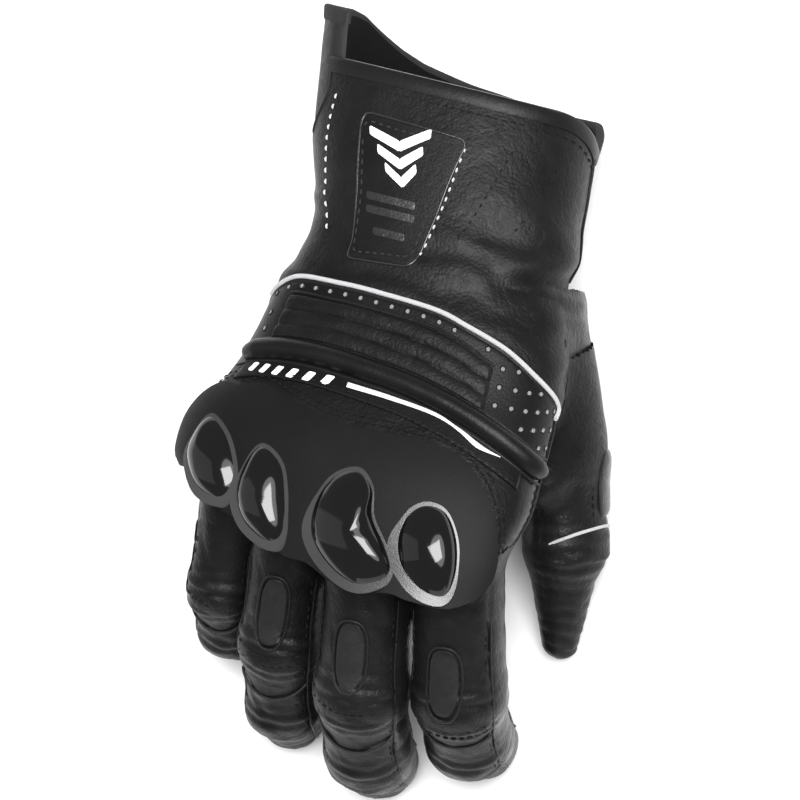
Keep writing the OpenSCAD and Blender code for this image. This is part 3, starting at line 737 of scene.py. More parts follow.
# ---------------------------------------------------------------- the skin
STEP = 1.1                    # mesh step of the skins, mm


SIDE_FROM, SIDE_TO = 62, 128                         # the fingers' side leather, degrees from the back
SEAMS = (-SIDE_FROM, SIDE_FROM, -SIDE_TO, SIDE_TO)


def hand_relief(p, n):
    """Creases of the hand's leather."""
    x, y, z = p.T
    palm = smooth(0.2, -0.3, n[:, 2])
    d = -0.9 * gauss(y + 22 + 0.25 * (x - 10) - 2 * np.sin(x / 14), 1.6) * palm
    d -= 0.8 * gauss(y + 2 + 0.4 * (x - 20), 1.5) * palm * smooth(-20, 0, x)
    d += 0.28 * noise(p, 15, 1) * (0.3 + 0.7 * palm)
    wrist = smooth(24, 38, y)
    d += 0.5 * wrist * np.sin(y * 1.15 + 1.5 * noise(p, 30, 2)) * (1 - palm) * 0.6
    return d


def finger_relief(c, v, th, p):
    """Creases at the joints, seams along the sides, and a wrinkled tip."""
    back, palm = smooth(105, 55, np.abs(th)), smooth(75, 125, np.abs(th))
    d = np.zeros(len(v))
    wob = 1.2 * noise(p, 18, 3)
    for j in c.at[1:3]:
        near = gauss(v - j, 6.5)
        d += 0.4 * near * back * np.sin((v - j) * 2 * math.pi / 4.2 + wob)
        d -= 1.0 * gauss(v - j, 1.8) * palm - 0.35 * gauss(v - j, 6) * palm * np.cos((v - j) * 1.1)
        d += 0.45 * gauss(v - j, 8) * back
    tipward = smooth(c.at[2] + 3, c.at[3], v)
    d += 0.20 * tipward * np.sin(v * 1.55 + 2.2 * noise(p, 12, 4)) * (0.35 + 0.65 * back)
    d += 0.2 * noise(p, 9, 5) + 0.22 * noise(p, 21, 11) * smooth(c.at[2] + 4, c.root + 10, v)
    for side in SEAMS:
        d -= 0.35 * gauss((th - side) * np.interp(v, c.at, c.r) * math.pi / 180, 0.9)
    d = np.where(d > 0, d * (1 - 0.85 * gauss(np.abs(th) - 90, 30)), d)
    return d * smooth(c.root - 2, c.root + 18, v)


def skin_materials(part, pos, quads, nrm, pick):
    """Adds faces in groups by material, with shared points copied per group."""
    kinds = pick(pos[quads].mean(1), nrm[quads].mean(1))
    for kind, mat in enumerate((BLACK, PALM, SIDE)):
        sel = quads[kinds == kind]
        if not len(sel):
            continue
        used, inv = np.unique(sel, return_inverse=True)
        part.add(pos[used], inv.reshape(sel.shape), mat, nrm[used])


hand_pos, hand_quads = nets(hand, [-48, -60, 14], [82, 48, 94], STEP)
hand_quads = hand_quads[hand_pos[hand_quads].mean(1)[:, 1] <= 42.6]     # open where the cuff covers it
hand_n = point_normals(hand_pos, hand_quads)
hand_pos = hand_pos + hand_n * hand_relief(hand_pos, hand_n)[:, None]
hand_n = point_normals(hand_pos, hand_quads)


def pick_hand(mid, nrm):
    """0 back, 1 palm, 2 thumb side."""
    kind = np.zeros(len(mid), int)
    kind[nrm[:, 2] < -0.25] = 1
    kind[(nrm[:, 0] > 0.72) & (mid[:, 1] > -30)] = 2
    return kind


skin = Part("hand_skin")
skin_materials(skin, hand_pos, hand_quads, hand_n, pick_hand)
skin.make("hand", "black_leather",
          ["back_hand_panel", "thumb_side_wall", "outer_side_wall", "palm_panel", "thumb_gusset"])

CUTS, RIDES, SKINS = {}, {}, {}
for name, c in CHAINS.items():
    lo, hi = c.p[ROOT[name]:].min(0) - 20, c.p.max(0) + 20
    lo = np.minimum(lo, c.p.min(0) - 16)
    pos, quads = nets(c.field, lo, hi, STEP * 0.9)
    v, th = c.where(pos)
    near = (c.d(pos) < hand(pos) + 6.2) & (v > c.root - (30 if name == "thumb" else 6))
    quads = quads[near[quads].all(1)]
    nrm = point_normals(pos, quads)
    pos = pos + nrm * (finger_relief(c, v, th, pos) + 0.06)[:, None]
    nrm = point_normals(pos, quads)
    mid = v[quads].mean(1)
    parts = ("base", "tip") if name == "thumb" else ("base", "middle", "tip")
    bodies = ["hand"] + [f"{name}_{x}" for x in parts]
    hinge = [c.root] + list(c.at[ROOT[name] + 1:3])
    # stretches round each hinge, from and to, measured from each hinge; the skin is split midway between them
    first = {"thumb": (-3, 20), "little": (-2, 18)}.get(name, (-2, 20))
    later = (-7, 7) if name == "little" else (-8, 8)
    spans = [(h + a, h + b) for h, (a, b) in zip(hinge, [first] + [later] * (len(hinge) - 1))]
    cuts = CUTS[name] = [-1e9] + [(a[1] + b[0]) / 2 for a, b in zip(spans, spans[1:])] + [1e9]

    def pick(m, n, c=c):
        vv, tt = c.where(m)
        kind = np.where((np.abs(tt) > SIDE_FROM) & (np.abs(tt) < SIDE_TO) & (vv > c.root + 16), 2, 0)
        return np.where(np.abs(tt) >= SIDE_TO, 1, kind)

    for i, (a, b) in enumerate(spans):
        k = int(np.searchsorted(c.at, hinge[i] - 1e-6)) if i else ROOT[name]
        before = c.dir[max(k - 1, 0)] if i else c.dir[k]
        start, end = c.p[k] + before * (a - hinge[i]), c.p[k] + c.dir[k] * (b - hinge[i])
        RIDES[name, i] = (bodies[i], bodies[i + 1], start, end)
        SKINS[name, i] = Part(f"{name}_skin_{i + 1}")
        skin_materials(SKINS[name, i], pos, quads[(mid >= cuts[i]) & (mid < cuts[i + 1])], nrm, pick)


def skin_at(name, v):
    """The piece of a finger's skin at length v."""
    return SKINS[name, int(np.searchsorted(CUTS[name], v, side="right")) - 1]


def along_finger(name, v0, v1, draw):
    """Calls draw(part, lengths) for each stretch of a line along a finger, split where the skin is split."""
    cuts = CUTS[name]
    for i in range(len(cuts) - 1):
        a, b = max(v0, cuts[i]), min(v1, cuts[i + 1])
        if b - a > 0.6:
            draw(SKINS[name, i], np.linspace(a, b, max(4, int((b - a) / 1.2))))


def ridge(part, chart, uv, r, off, mat, step=0.9, closed=False):
    p, n = path_on(chart, uv, off, step, closed)
    size = np.ones(len(p))
    if not closed and len(p) > 4:
        size[[0, -1]], size[[1, -2]] = 0.4, 0.85
    v, f = sweep(p, n, tube_profile(r), size, closed)
    part.add(v, f, mat)


# seams, stitches and pads of the fingers: (v of pad start, end, half width), stitch rows, seam arc
DETAIL = {"index": dict(pad=(25, 42, 4.2), rows=(45.5, 47.6), arc=(52.5, 3.0), stitch=()),
          "middle": dict(pad=(24, 43, 4.0), rows=(47.6, 50.2), arc=(60, 4.5), stitch=(6.6,)),
          "ring": dict(pad=(21.5, 40.5, 3.6), rows=(42.6, 44.8), arc=(55.5, 4.5), stitch=(6.0,)),
          "little": dict(pad=None, rows=(36.5,), arc=(46, 3.5), stitch=())}
for name, dt in DETAIL.items():
    c = CHAINS[name]
    ch = FingerChart(c)
    radius = lambda v, c=c: np.interp(v, c.at, c.r)
    for th in SEAMS:
        side = lambda vv: np.radians(th) * radius(vv)
        along_finger(name, c.root + 17, c.at[3] + 2,
                     lambda part, vv: ridge(part, ch, pairs(side(vv), vv), 0.34, 0.05, BLACK))
        if abs(th) == SIDE_FROM:
            along_finger(name, c.root + 20, c.at[3] - 2, lambda part, vv: stitch_row(
                part, ch, pairs(side(vv) - np.sign(th) * 1.5, vv), THREAD,
                gap=2.6, length=1.7, r=0.2, off=0.16))
    for v in dt["rows"]:
        u = np.linspace(-radius(v) * 0.98, radius(v) * 0.98, 40)
        stitch_row(skin_at(name, v), ch, pairs(u, v + 0 * u + 0.6 * np.cos(u / radius(v) * 2)), THREAD,
                   gap=2.2, length=1.5, r=0.24, off=0.5)
    # the arc that ends the smooth joint panel, bowed toward the tip
    v, bow = dt["arc"]
    u = np.linspace(-1, 1, 40)
    ridge(skin_at(name, v), ch, pairs(u * radius(v) * 1.05, v + bow * (0.6 - u**2)), 0.42, 0.55, SIDE)
    for du in dt["stitch"]:
        vv = np.linspace(dt["pad"][0] + 1, dt["pad"][1] - 1, 20)
        stitch_row(SKINS[name, 0], ch, pairs(du, vv), THREAD, gap=2.4, length=1.6, r=0.22, off=0.3)


def perforation(part, u, v, chart, off=0.75):
    """A punched hole: a soft lip round a small light floor."""
    k = np.linspace(0, 2 * math.pi, 10, endpoint=False)
    rings = [(1.05, -0.05), (0.9, 0.2), (0.74, 0.24), (0.6, 0.06), (0.62, 0.07)]      # radius, height
    uu, vv = [np.concatenate([at + r * turn(k) for r, _ in rings]) for at, turn in ((u, np.cos), (v, np.sin))]
    p, n = chart(uu, vv, np.concatenate([np.full(10, off + z) for _, z in rings]))
    part.add(p[:40], outward(p, grid_faces(4, 10, wrap=True), n), SMOOTHL)
    part.add(p[40:], outward(p[40:], [tuple(range(10))], n[40:]), HOLE)


def squared(t, wide, long, power):
    """A closed curve between an ellipse and a rectangle."""
    xy = np.stack([np.cos(t), np.sin(t)], -1)
    return np.array([wide, long]) * np.sign(xy) * np.abs(xy) ** power


thumb = CHAINS["thumb"]
ch = FingerChart(thumb)
for v in (-1.5, 4.5, 10.5, 16.5):
    perforation(SKINS["thumb", 0], -4.5, thumb.root + v, ch, 0.1)
for u in (-9.5, 4.5):
    vv = thumb.root + np.linspace(-3, 22, 20)
    stitch_row(SKINS["thumb", 0], ch, pairs(u, vv), THREAD, gap=2.5, length=1.7, r=0.22, off=0.15)
for (name, i), part in SKINS.items():
    part.make(RIDES[name, i], "black_leather", [RIDES[name, i][1] + "_stall"])

for name, dt in DETAIL.items():
    if not dt["pad"]:
        continue
    a, b, w = dt["pad"]
    middle, half = np.array([0, (a + b) / 2]), (b - a) / 2
    o = squared(np.linspace(0, 2 * math.pi, 72, endpoint=False), w, half, 0.72) + middle
    ch = FingerChart(CHAINS[name])
    part = Part(f"{name}_pad_cushion")
    v, f, n = dome(ch, o, puff(2.8, 4.2, 0.5, 0.9), rings=8, edge=(0, 0.3, 0.7, 1.2, 1.8))
    part.add(v, f, PADL, n)
    grow = (o - o.mean(0)) * np.array([1 + 1.0 / w, 1 + 1.0 / half]) + o.mean(0)
    p, n = path_on(ch, grow, 0.35, 0.8, True)
    part.add(*sweep(p, n, tube_profile(0.5), closed=True), BLACK)
    part.make(RIDES[name, 0], "black_leather", [f"{name}_pad"], padded=0.8)

# ---------------------------------------------------------------- cuff
def cuff_back_y(a):
    """y of the edge of the cuff's back."""
    return 91 - 7 * np.maximum(0, (40 - a) / 40) ** 2


def cuff_palm_y(a):
    a = np.asarray(a, float)
    return np.interp(a, [137, 150, 205, 213, 222, 235, 246, 265, 279, 300],
                     [104.6, 105.2, 106, 105.2, 102.4, 98.4, 95.8, 93.2, 92, 91]) - 7 * smooth(330, 360, a)


def hem_y(a):
    a = np.asarray(a, float)
    return np.where(a <= 141, cuff_back_y(np.minimum(a, 141)), cuff_palm_y(a))


SLIT = 142.0                                        # angle where the cuff's back ends, toward the hem


def back_end(y):
    return SLIT + 42 * smooth(84, 52, y)


def palm_off(a):
    """The palm side of the cuff goes in under the back."""
    return 0.7 - 0.3 * smooth(205, 190, a) - 0.8 * smooth(147, 141, a)


PIPE_AY = [(168, 20.5), (158, 23.6), (140, 27.4), (116, 28.2), (101, 28.3), (81, 27.4), (67, 24.9),
           (51, 21.8), (40, 18.9), (29, 15.8), (15, 12.6), (6, 10.6)]
PIPE_LINE = spline([(-4, 7.4)] + PIPE_AY[::-1] + [(184, 16)])


def pipe_y(a):
    return np.interp(a, PIPE_LINE[:, 0], PIPE_LINE[:, 1])


def cuff_fold(y, a, p):
    """Soft folds of the cuff: deeper at the wrist's thumb side."""
    d = 0.5 * noise(p, 42, 6)
    thumb = gauss(a - 25, 42)
    d = d + 1.5 * thumb * gauss(y - 47 + 0.12 * (a - 30), 5)
    d = d - 1.3 * thumb * gauss(y - 40 + 0.16 * (a - 30), 4.2)
    d = d + 0.9 * thumb * gauss(y - 57 - 0.15 * (a - 30), 5) - 0.8 * gauss(a - 62, 9) * gauss(y - 52, 11)
    d = d + 0.35 * np.sin(y * 0.55 + 2 * noise(p, 34, 7)) * smooth(62, 44, y)
    return d


def cuff_sheet(name, a0, a1, low, high, off, mat, thick=1.1, folds=lambda a: 1.0, end=None, cols=150):
    """One leather panel of the cuff, with its inner face and edges. end(y) is the angle where it ends."""
    aa = np.linspace(a0, a1, cols)
    A, T = np.meshgrid(aa, np.linspace(0, 1, 56), indexing="ij")
    Y = low(A) + (high(A) - low(A)) * T
    if end is not None:
        for _ in range(4):
            A = a0 + (aa[:, None] - a0) / (a1 - a0) * (end(Y) - a0)
            Y = low(A) + (high(A) - low(A)) * T
    d = folds(A) * cuff_fold(Y, A, hs(Y, A)) * smooth(0, 0.06, T) * smooth(1.0, 0.86, T)
    edge = 0.35 * (1 - smooth(0, 0.02, T) * smooth(1, 0.98, T))
    top, bot = hs(Y, A, off(A) + d - edge), hs(Y, A, off(A) + d - thick)
    v, f = slab(top, bot, unit(top - hs(Y, A, -8)).reshape(-1, 3))
    return Part(name).add(v, f, mat)


def slab(top, bot, n):
    """Faces of a sheet from its two grids of points, closed along the edges."""
    rows, cols = top.shape[:2]
    k = rows * cols
    v = np.concatenate([top.reshape(-1, 3), bot.reshape(-1, 3)])
    f = grid_faces(rows, cols)
    up = outward(v, f, n)
    down = [tuple(reversed([i + k for i in q])) for q in up]
    loop = ([i * cols for i in range(rows)] + [(rows - 1) * cols + j for j in range(1, cols)]
            + [i * cols + cols - 1 for i in range(rows - 2, -1, -1)] + [j for j in range(cols - 2, 0, -1)])
    ed = [(a, b, b + k, a + k) for a, b in zip(loop, loop[1:] + loop[:1])]
    if up[0] != f[0]:
        ed = [tuple(reversed(q)) for q in ed]
    return v, up + down + ed


ch_hand = HandChart(hand)
ch_loft = HandChart(None)


def cuff_off(base):
    """A chart on the cuff's outer face, folds included."""
    def chart(u, v, off):
        a = np.interp(u, ARC_S, ARC_A)
        share = smooth(pipe_y(a), pipe_y(a) + 4, v) * smooth(hem_y(a), hem_y(a) - 8, v)
        d = cuff_fold(v, a, hs(v, a)) * share
        p = hs(v, a, off + base + d)
        q = hs(v + 0.4, a, off + base) - hs(v - 0.4, a, off + base)
        r = hs(v, a + 0.5, off + base) - hs(v, a - 0.5, off + base)
        n = unit(np.cross(q, r))
        return p, np.where(((n * (p - middle_at(v))).sum(1) < 0)[:, None], -n, n)
    return chart


ch_cuff = cuff_off(1.0)
back = cuff_sheet("cuff_back", -4, 184, lambda a: pipe_y(a) - 1.5, lambda a: cuff_back_y(a) - 0.5,
                  lambda a: 1.0, BLACK, end=back_end)
for pts, mat, r in (([(134, 82), (140.5, 66), (142.8, 53.2), (140, 40)], LTHREAD, 0.34),
                    ([(77.5, 75.5), (82, 62), (87, 50), (91.2, 38.4)], LTHREAD, 0.34),
                    ([(57, 78), (66, 64), (73, 54), (79, 47)], THREAD, 0.26),
                    ([(30, 76), (44, 62), (52, 54)], THREAD, 0.26)):
    stitch_row(back, ch_cuff, ay(spline(pts)), mat, gap=3.1, length=1.35, r=r, off=0.16)
stitch_row(back, ch_cuff, line_a(lambda a: cuff_back_y(a) - 6.6, -2, 140, 180), THREAD,
           gap=2.8, length=1.8, r=0.22)
y = np.linspace(90, 68, 60)
ridge(back, ch_cuff, pairs(s_of(back_end(y) - 0.4), y), 0.45, -0.1, BLACK)
ridge(back, ch_cuff, ay(spline([(2, 83), (-6, 66), (-9, 52), (-8, 44)])), 0.5, 0.1, BLACK)
back.make("hand", "black_leather", ["cuff_back_panel"])

cuff_sheet("cuff_palm", 137, 357, lambda a: 36 + 27 * smooth(190, 178, a), lambda a: cuff_palm_y(a) - 0.5,
           palm_off, PALM, thick=1.0, folds=lambda a: 0.25 + 0.75 * smooth(208, 190, a), cols=180).make(
               "hand", "palm_leather", ["cuff_palm_panel"])


def hem(name, a0, a1, edge_of, off, mat, slot, nodes):
    """The bound edge: a folded strip over both faces of the cuff, never under the floor."""
    aa, w = np.linspace(a0, a1, 190), 4.6
    edge = edge_of(aa)
    prof = [(-w, -0.2), (-w, 0.35), (-w + 0.7, 0.6), (-0.9, 0.7), (-0.2, 0.35), (0, -0.4), (-0.3, -1.3),
            (-0.9, -1.75), (-w * 0.8, -1.75), (-w * 0.8, -1.2)]
    rows = np.stack([hs(edge + dy, aa, off(aa) + dz) for dy, dz in prof], 1)
    rows[..., 2] = np.maximum(rows[..., 2], 0.0)
    m = len(prof)
    v = rows.reshape(-1, 3)
    ends = [tuple(range(m)), tuple(range(len(v) - m, len(v)))[::-1]]
    f = grid_faces(len(aa), m, wrap=True) + ends
    n = unit(rows - hs(edge - 2, aa, off(aa) - 0.6)[:, None]).reshape(-1, 3)
    part = Part(name)
    part.add(v, outward(v, f, n), mat)
    return part.make("hand", slot, nodes)


hem("cuff_binding_back", -3, SLIT + 0.5, cuff_back_y, lambda a: 1.1 + 0 * a, SMOOTHL, "black_leather",
    ["cuff_binding"])
hem("cuff_hem_palm", 137.5, 356, cuff_palm_y, lambda a: palm_off(a) - 0.05, GREY, "hem_grey",
    ["cuff_palm_hem"])

# lining: one dark tube from the hem to the knuckles, closed at its end
LINING_END, LINING_OFF = -26, -1.6
aa = np.linspace(0, 360, 120, endpoint=False)
top = hem_y(aa) - 1.9
rows = []
for t in np.linspace(0, 1, 40):
    y = top + (LINING_END - top) * t
    rows.append(hs(y, aa, LINING_OFF + 0.4 * noise(hs(y, aa), 30, 8)))
for share in (0.8, 0.5, 0.2, 0.02):
    ring = hs(LINING_END - 8 * (1 - share) + 0 * aa, aa, LINING_OFF)
    mid = middle_at(ring[:, 1])
    rows.append(mid + (ring - mid) * share)
v = np.concatenate(rows)
f = grid_faces(len(rows), len(aa), wrap=True)
Part("cuff_lining_tube").add(v, outward(v, f, middle_at(v[:, 1]) - v), LINING).make(
    "hand", "lining", ["cuff_lining", "hand_lining_back", "hand_lining_palm", "wrist_elastic"])

# ---------------------------------------------------------------- patch and emblem
def rounded(points, r, per=6):
    """Polygon with rounded corners, in chart coordinates."""
    p, out = np.asarray(points, float), []
    for i in range(len(p)):
        a, b, c = p[i - 1], p[i], p[(i + 1) % len(p)]
        d1, d2 = unit(a - b), unit(c - b)
        s, e = b + d1 * r, b + d2 * r
        for t in np.linspace(0, 1, per):
            out.append((1 - t) ** 2 * s + 2 * t * (1 - t) * b + t * t * e)
    return np.array(out)


quad = ay([(116, 77.2), (77.5, 76.0), (91.5, 37.8), (120, 36)])
outline = resample(rounded(quad, 3.5), 0.8, closed=True)
part = Part("emblem_patch_leather")
ridge(part, ch_cuff, outline + unit(outline - quad.mean(0)) * 0.4, 0.42, 0.1, PADL, closed=True)
v, f, n = dome(ch_cuff, outline, puff(1.0, 1.1, 0.05, 0.5), rings=24)
part.add(v, f, SMOOTHL, n)
inset = outline + unit(quad.mean(0) - outline) * 2.2
stitch_row(part, ch_cuff, inset, MTHREAD, gap=2.8, length=1.8, r=0.26, off=1.1, closed=True)
part.make("hand", "black_leather", ["emblem_patch"])

part = Part("emblem_mark")
centre = ay([(97.5, 64.8)])[0]
for k in range(3):                                  # three plain chevrons
    w, up = 10.8 - 2.6 * k, 5.4 - 5.0 * k
    pts = np.array([[-w, up + 2.8], [0, up - 1.6], [w, up + 2.8],
                    [w, up + 5.4], [0, up + 1.4], [-w, up + 5.4]])
    turn = np.radians(-8)
    pts = pts @ np.array([[np.cos(turn), -np.sin(turn)], [np.sin(turn), np.cos(turn)]]).T
    for half in ((0, 1, 4, 5), (1, 2, 3, 4)):
        o = resample(rounded(pts[list(half)] + centre, 0.5, 3), 0.5, closed=True)
        v, f, n = dome(ch_cuff, o, puff(0.35, 0.4, 1.05, 0.5), rings=3, edge=(0, 0.25, 0.5), low=0.6)
        part.add(v, f, WHITE, n)
part.make("hand", "white_print", ["emblem"])
part = Part("emblem_bars_embossed")
for y, w in ((55.5, 9.0), (51.8, 9.0), (46.0, 6.0)):    # plain raised bars in place of lettering
    bar = ay([(101.5, y - 1)])[0] + np.array([[-w, -1.1], [w, -1.1], [w, 1.1], [-w, 1.1]])
    o = resample(rounded(bar, 0.7, 4), 0.5, closed=True)
    v, f, n = dome(ch_cuff, o, puff(0.4, 0.5, 1.02, 0.5), rings=3, edge=(0, 0.25, 0.5), low=0.6)
    part.add(v, f, PADL, n)
part.make("hand", "black_leather")

# ---------------------------------------------------------------- back of the hand
part = Part("piping_reflective")
p, n = path_on(ch_hand, spline(ay(PIPE_AY + [(0, 8.2), (2, 5.4)])), 1.0, 0.8)
v, f = sweep(p, n, tube_profile(0.72, 10))
part.add(v, f, PIPE)
v, f = sweep(p - n * 0.6, n, [(1.9, -0.6), (1.9, 0.1), (0, 0.35), (-1.9, 0.1), (-1.9, -0.6)])
part.add(v, f, BLACK)
part.make("hand", "piping", ["reflective_piping"])


BAND = np.polyfit([-4, 0, 20, 40, 65, 85, 102, 120, 149, 156],
                  [-10.4, -9.9, -7.6, -4.6, 1.3, 5.2, 6.7, 6.3, 3.1, 2.2], 4)


def band_mid(a):
    """y of the middle of the padded roll."""
    return np.polyval(BAND, a)


def strip(part, a0, a1, low, high, height, mat, cols=170, rows=26):
    """A panel between two curves round the hand; height(t, a) is its level at share t across."""
    A, T = np.meshgrid(np.linspace(a0, a1, cols), np.linspace(0, 1, rows), indexing="ij")
    Y = low(A) + (high(A) - low(A)) * T
    off = np.full(A.shape, -0.5)                        # the edges go in under the leather
    off[1:-1, 1:-1] = height(T, A)[1:-1, 1:-1]
    p, n = ch_hand(s_of(A.ravel()), Y.ravel(), off.ravel())
    part.add(p, outward(p, grid_faces(cols, rows), n), mat)


def edged(t, a, a0, a1, h, w=0.08, wa=3.0):
    """Height h with rounded edges: w of the share across, wa degrees at the ends."""
    across, ends = np.minimum(t, 1 - t) / w, np.minimum(a - a0, a1 - a) / wa
    return h * np.sqrt(np.clip(across, 0, 1)) * np.sqrt(np.clip(ends, 0, 1))


quilt_low = lambda a: band_mid(a) + 3.4
quilt_high = lambda a: pipe_y(a) - 5.4 - 1.5 * smooth(70, 50, a)
part = Part("perforated_leather")
strip(part, 1, 166, lambda a: band_mid(a) + 2.0, lambda a: pipe_y(a) - 0.4,
      lambda t, a: edged(t, a, 1, 166, 0.75), SMOOTHL)
for u, v in (*resample(line_a(lambda a: pipe_y(a) - 2.9, 72, 156), 5.4), *ay([(152, 15.5), (150, 10.6)])):
    perforation(part, u, v, ch_hand)
for i in range(8):                                  # the wide part at the thumb side, in staggered columns
    for j in range(5):
        a = 5 + 8.6 * i
        top, bottom = pipe_y(a) - 2.9, band_mid(a) + 4.6
        y = top - 5.3 * j - (2.6 if i % 2 else 0)
        if bottom < y <= top and (a < 52 or y > quilt_high(a) + 1.6):
            perforation(part, float(s_of(a)), float(y), ch_hand)
part.make("hand", "black_leather", ["perforated_panel"])

Q0, Q1 = 51, 142                                    # angles where the quilted panel ends
part = Part("quilted_leather")


def quilt(t, a):
    """Three padded ribs across the panel."""
    waves = np.abs(np.sin(math.pi * (t * 3.0 + 0.05 * np.sin(a * 0.11))))
    ribs = edged(t, a, Q0, Q1, 1.0, 0.05, 4) * (0.75 + 0.6 * waves ** 0.6)
    return ribs * smooth(0, 4, np.minimum(a - Q0, Q1 - a)) + 0.5 + 0.05 * np.sin(a * 0.5 + 5 * t)


strip(part, Q0, Q1, quilt_low, quilt_high, quilt, BLACK, cols=150, rows=50)
ridge(part, ch_hand, line_a(lambda a: quilt_high(a) + 0.5, Q0 + 1, Q1 - 1), 0.45, 1.0, BLACK)
part.make("hand", "black_leather", ["quilted_panel"], padded=0.5)

# the padded roll in front of it
path = line_a(band_mid, 0, 156, 200)
p, n = path_on(ch_hand, path, 0.2, 0.9)
from_end = np.minimum(np.arange(len(p)), np.arange(len(p))[::-1])
size = 0.45 + 0.55 * np.sqrt(np.clip(from_end / 6, 0, 1))
v, f = sweep(p, n, round_profile(6.9, 4.0, -0.6, 17), size)
part = Part("knuckle_roll")
v = v + 0.12 * noise(v, 14, 9)[:, None] * np.array([0, 0, 1.0])
part.add(v, f, SMOOTHL)
for side in (-3.7, 3.7):
    ridge(part, ch_hand, path + np.array([0, side]), 0.42, 0.75, BLACK)
part.make("hand", "black_leather", ["knuckle_band"], padded=0.9)

# the white stripe on a flat leather strip in front of the roll
part = Part("stripe_print")
mid = spline(ay([(97, 0.6), (85.6, -0.1), (70.4, -1.5), (59, -4.3), (49, -7.4), (37.6, -8.9)]))
p, n = path_on(ch_hand, mid, 1.05, 0.6)
t = np.linspace(0, 1, len(p))
width = np.interp(t, [0, 0.55, 0.68, 0.86, 1], [1.5, 1.0, 0.7, 1.5, 0.12])
prof = np.array([(0.5, 0), (0.5, 0.22), (0, 0.3), (-0.5, 0.22), (-0.5, 0)])
across = unit(np.cross(np.gradient(p, axis=0), n))
v = p[:, None] + across[:, None] * (prof[None, :, :1] * width[:, None, None]) + n[:, None] * prof[None, :, 1:]
v = v.reshape(-1, 3)
part.add(v, outward(v, grid_faces(len(p), 5), np.repeat(n, 5, 0)), WHITE)
for a in np.linspace(104, 139, 6):                  # plain slanted bars in place of lettering
    y = np.interp(a, [97, 149], [0.9, -1.2])
    bar = ay([(a - 0.9, y - 1.4), (a + 2.1, y - 1.4), (a + 0.9, y + 1.4), (a - 2.1, y + 1.4)])
    o = resample(rounded(bar, 0.35, 3), 0.4, closed=True)
    v, f, n = dome(ch_hand, o, puff(0.28, 0.4, 1.02, 0.5), rings=3, edge=(0, 0.2), low=0.6)
    part.add(v, f, WHITE, n)
part.make("hand", "white_print", ["band_stripe"])

part = Part("stripe_leather")
strip(part, 20, 150, lambda a: band_mid(a) - 9.0, lambda a: band_mid(a) - 2.6,
      lambda t, a: edged(t, a, 20, 150, 1.0), SMOOTHL, rows=16)
for d in (-8.3, -7.2):
    stitch_row(part, ch_hand, line_a(lambda a: band_mid(a) + d, 24, 120), THREAD,
               gap=2.3, length=1.6, r=0.2, off=1.12)
part.make("hand", "black_leather")

# ---------------------------------------------------------------- knuckle guard
GUARD_AY = [(170, -27), (166, -14), (154, -7), (139.2, -7.0), (128, -4.5), (110.8, -7.6), (95.2, -10.2),
            (77.6, -9.8), (60, -10.4), (44.8, -16.0), (30, -27), (22.0, -40), (27, -48), (37, -52.6),
            (46, -54.6), (59.2, -54.6), (67.2, -54.0), (79.6, -56.4), (85.6, -54.4), (91.2, -51.2),
            (98, -50.6), (114, -44.8), (128, -41.5),
            (139, -36), (152, -33), (164, -33)]
guard_line = resample(spline(ay(GUARD_AY), closed=True), 1.1, closed=True)


def guard_height(d, uv):
    """Steep at the edge, then flat, with a slight unevenness."""
    h = 1.2 + 3.6 * (1 - (1 - np.clip(d / 5.5, 0, 1)) ** 2) ** 0.75
    return h + 0.25 * noise(np.pad(uv, ((0, 0), (0, 1))), 40, 10)


part = Part("guard_shell_back")
v, f, n = dome(ch_loft, guard_line, guard_height, centre=ay([(92, -31)])[0], rings=34,
               edge=(0, 0.25, 0.6, 1.1, 1.8, 2.7, 3.8, 5), low=-0.6)
part.add(v, f, GUARD, n)
along = np.gradient(guard_line, axis=0)
outside = unit(np.stack([along[:, 1], -along[:, 0]], -1))
if (outside * (guard_line - guard_line.mean(0))).sum() < 0:
    outside = -outside
for g in (1.7, 3.3):                                # two stitch rows round it, open at the fingers
    row = guard_line + outside * g
    back_row = row[(row[:, 1] > -50)]
    start = np.argmax(np.linalg.norm(np.diff(back_row, axis=0), axis=1)) + 1
    back_row = np.roll(back_row, -start, 0)
    stitch_row(part, ch_hand, back_row, THREAD, gap=2.3, length=1.6, r=0.24, off=0.45)
part.make("hand", "guard_shell", ["knuckle_guard", "knuckle_foam"], padded=None)

INSERTS = {  # outlines in (a, y) and the dome's middle
    "index": ([(62.4, -26.4), (55, -27.5), (48.4, -34.8), (45.2, -44.6), (47.5, -51.5), (56.8, -51.2),
               (65.6, -45.8), (69.2, -38.0), (67.6, -30.2)], (57, -39)),
    "middle": ([(84.5, -21.6), (89.6, -25.4), (91.6, -34.4), (90.6, -43.2), (86.0, -50.2), (78.0, -54.0),
                (70.4, -51.8), (67.8, -47.6), (71.6, -41.2), (77.4, -34.0), (79.6, -25.8)], (82, -40)),
    "ring": ([(110.0, -21.6), (114.2, -28.8), (114.4, -36.8), (109.6, -44.0), (102.4, -48.0), (98.2, -48.0),
              (96.6, -44.4), (98.2, -35.8), (102.0, -25.6)], (105.5, -36)),
    "little": ([(135.2, -16.8), (140.6, -22.2), (141.4, -29.6), (133.2, -37.4), (123.4, -40.0),
                (117.4, -38.4), (116.4, -30.8), (123.0, -21.6)], (129, -29)),
}
rims = Part("insert_rims_rubber")
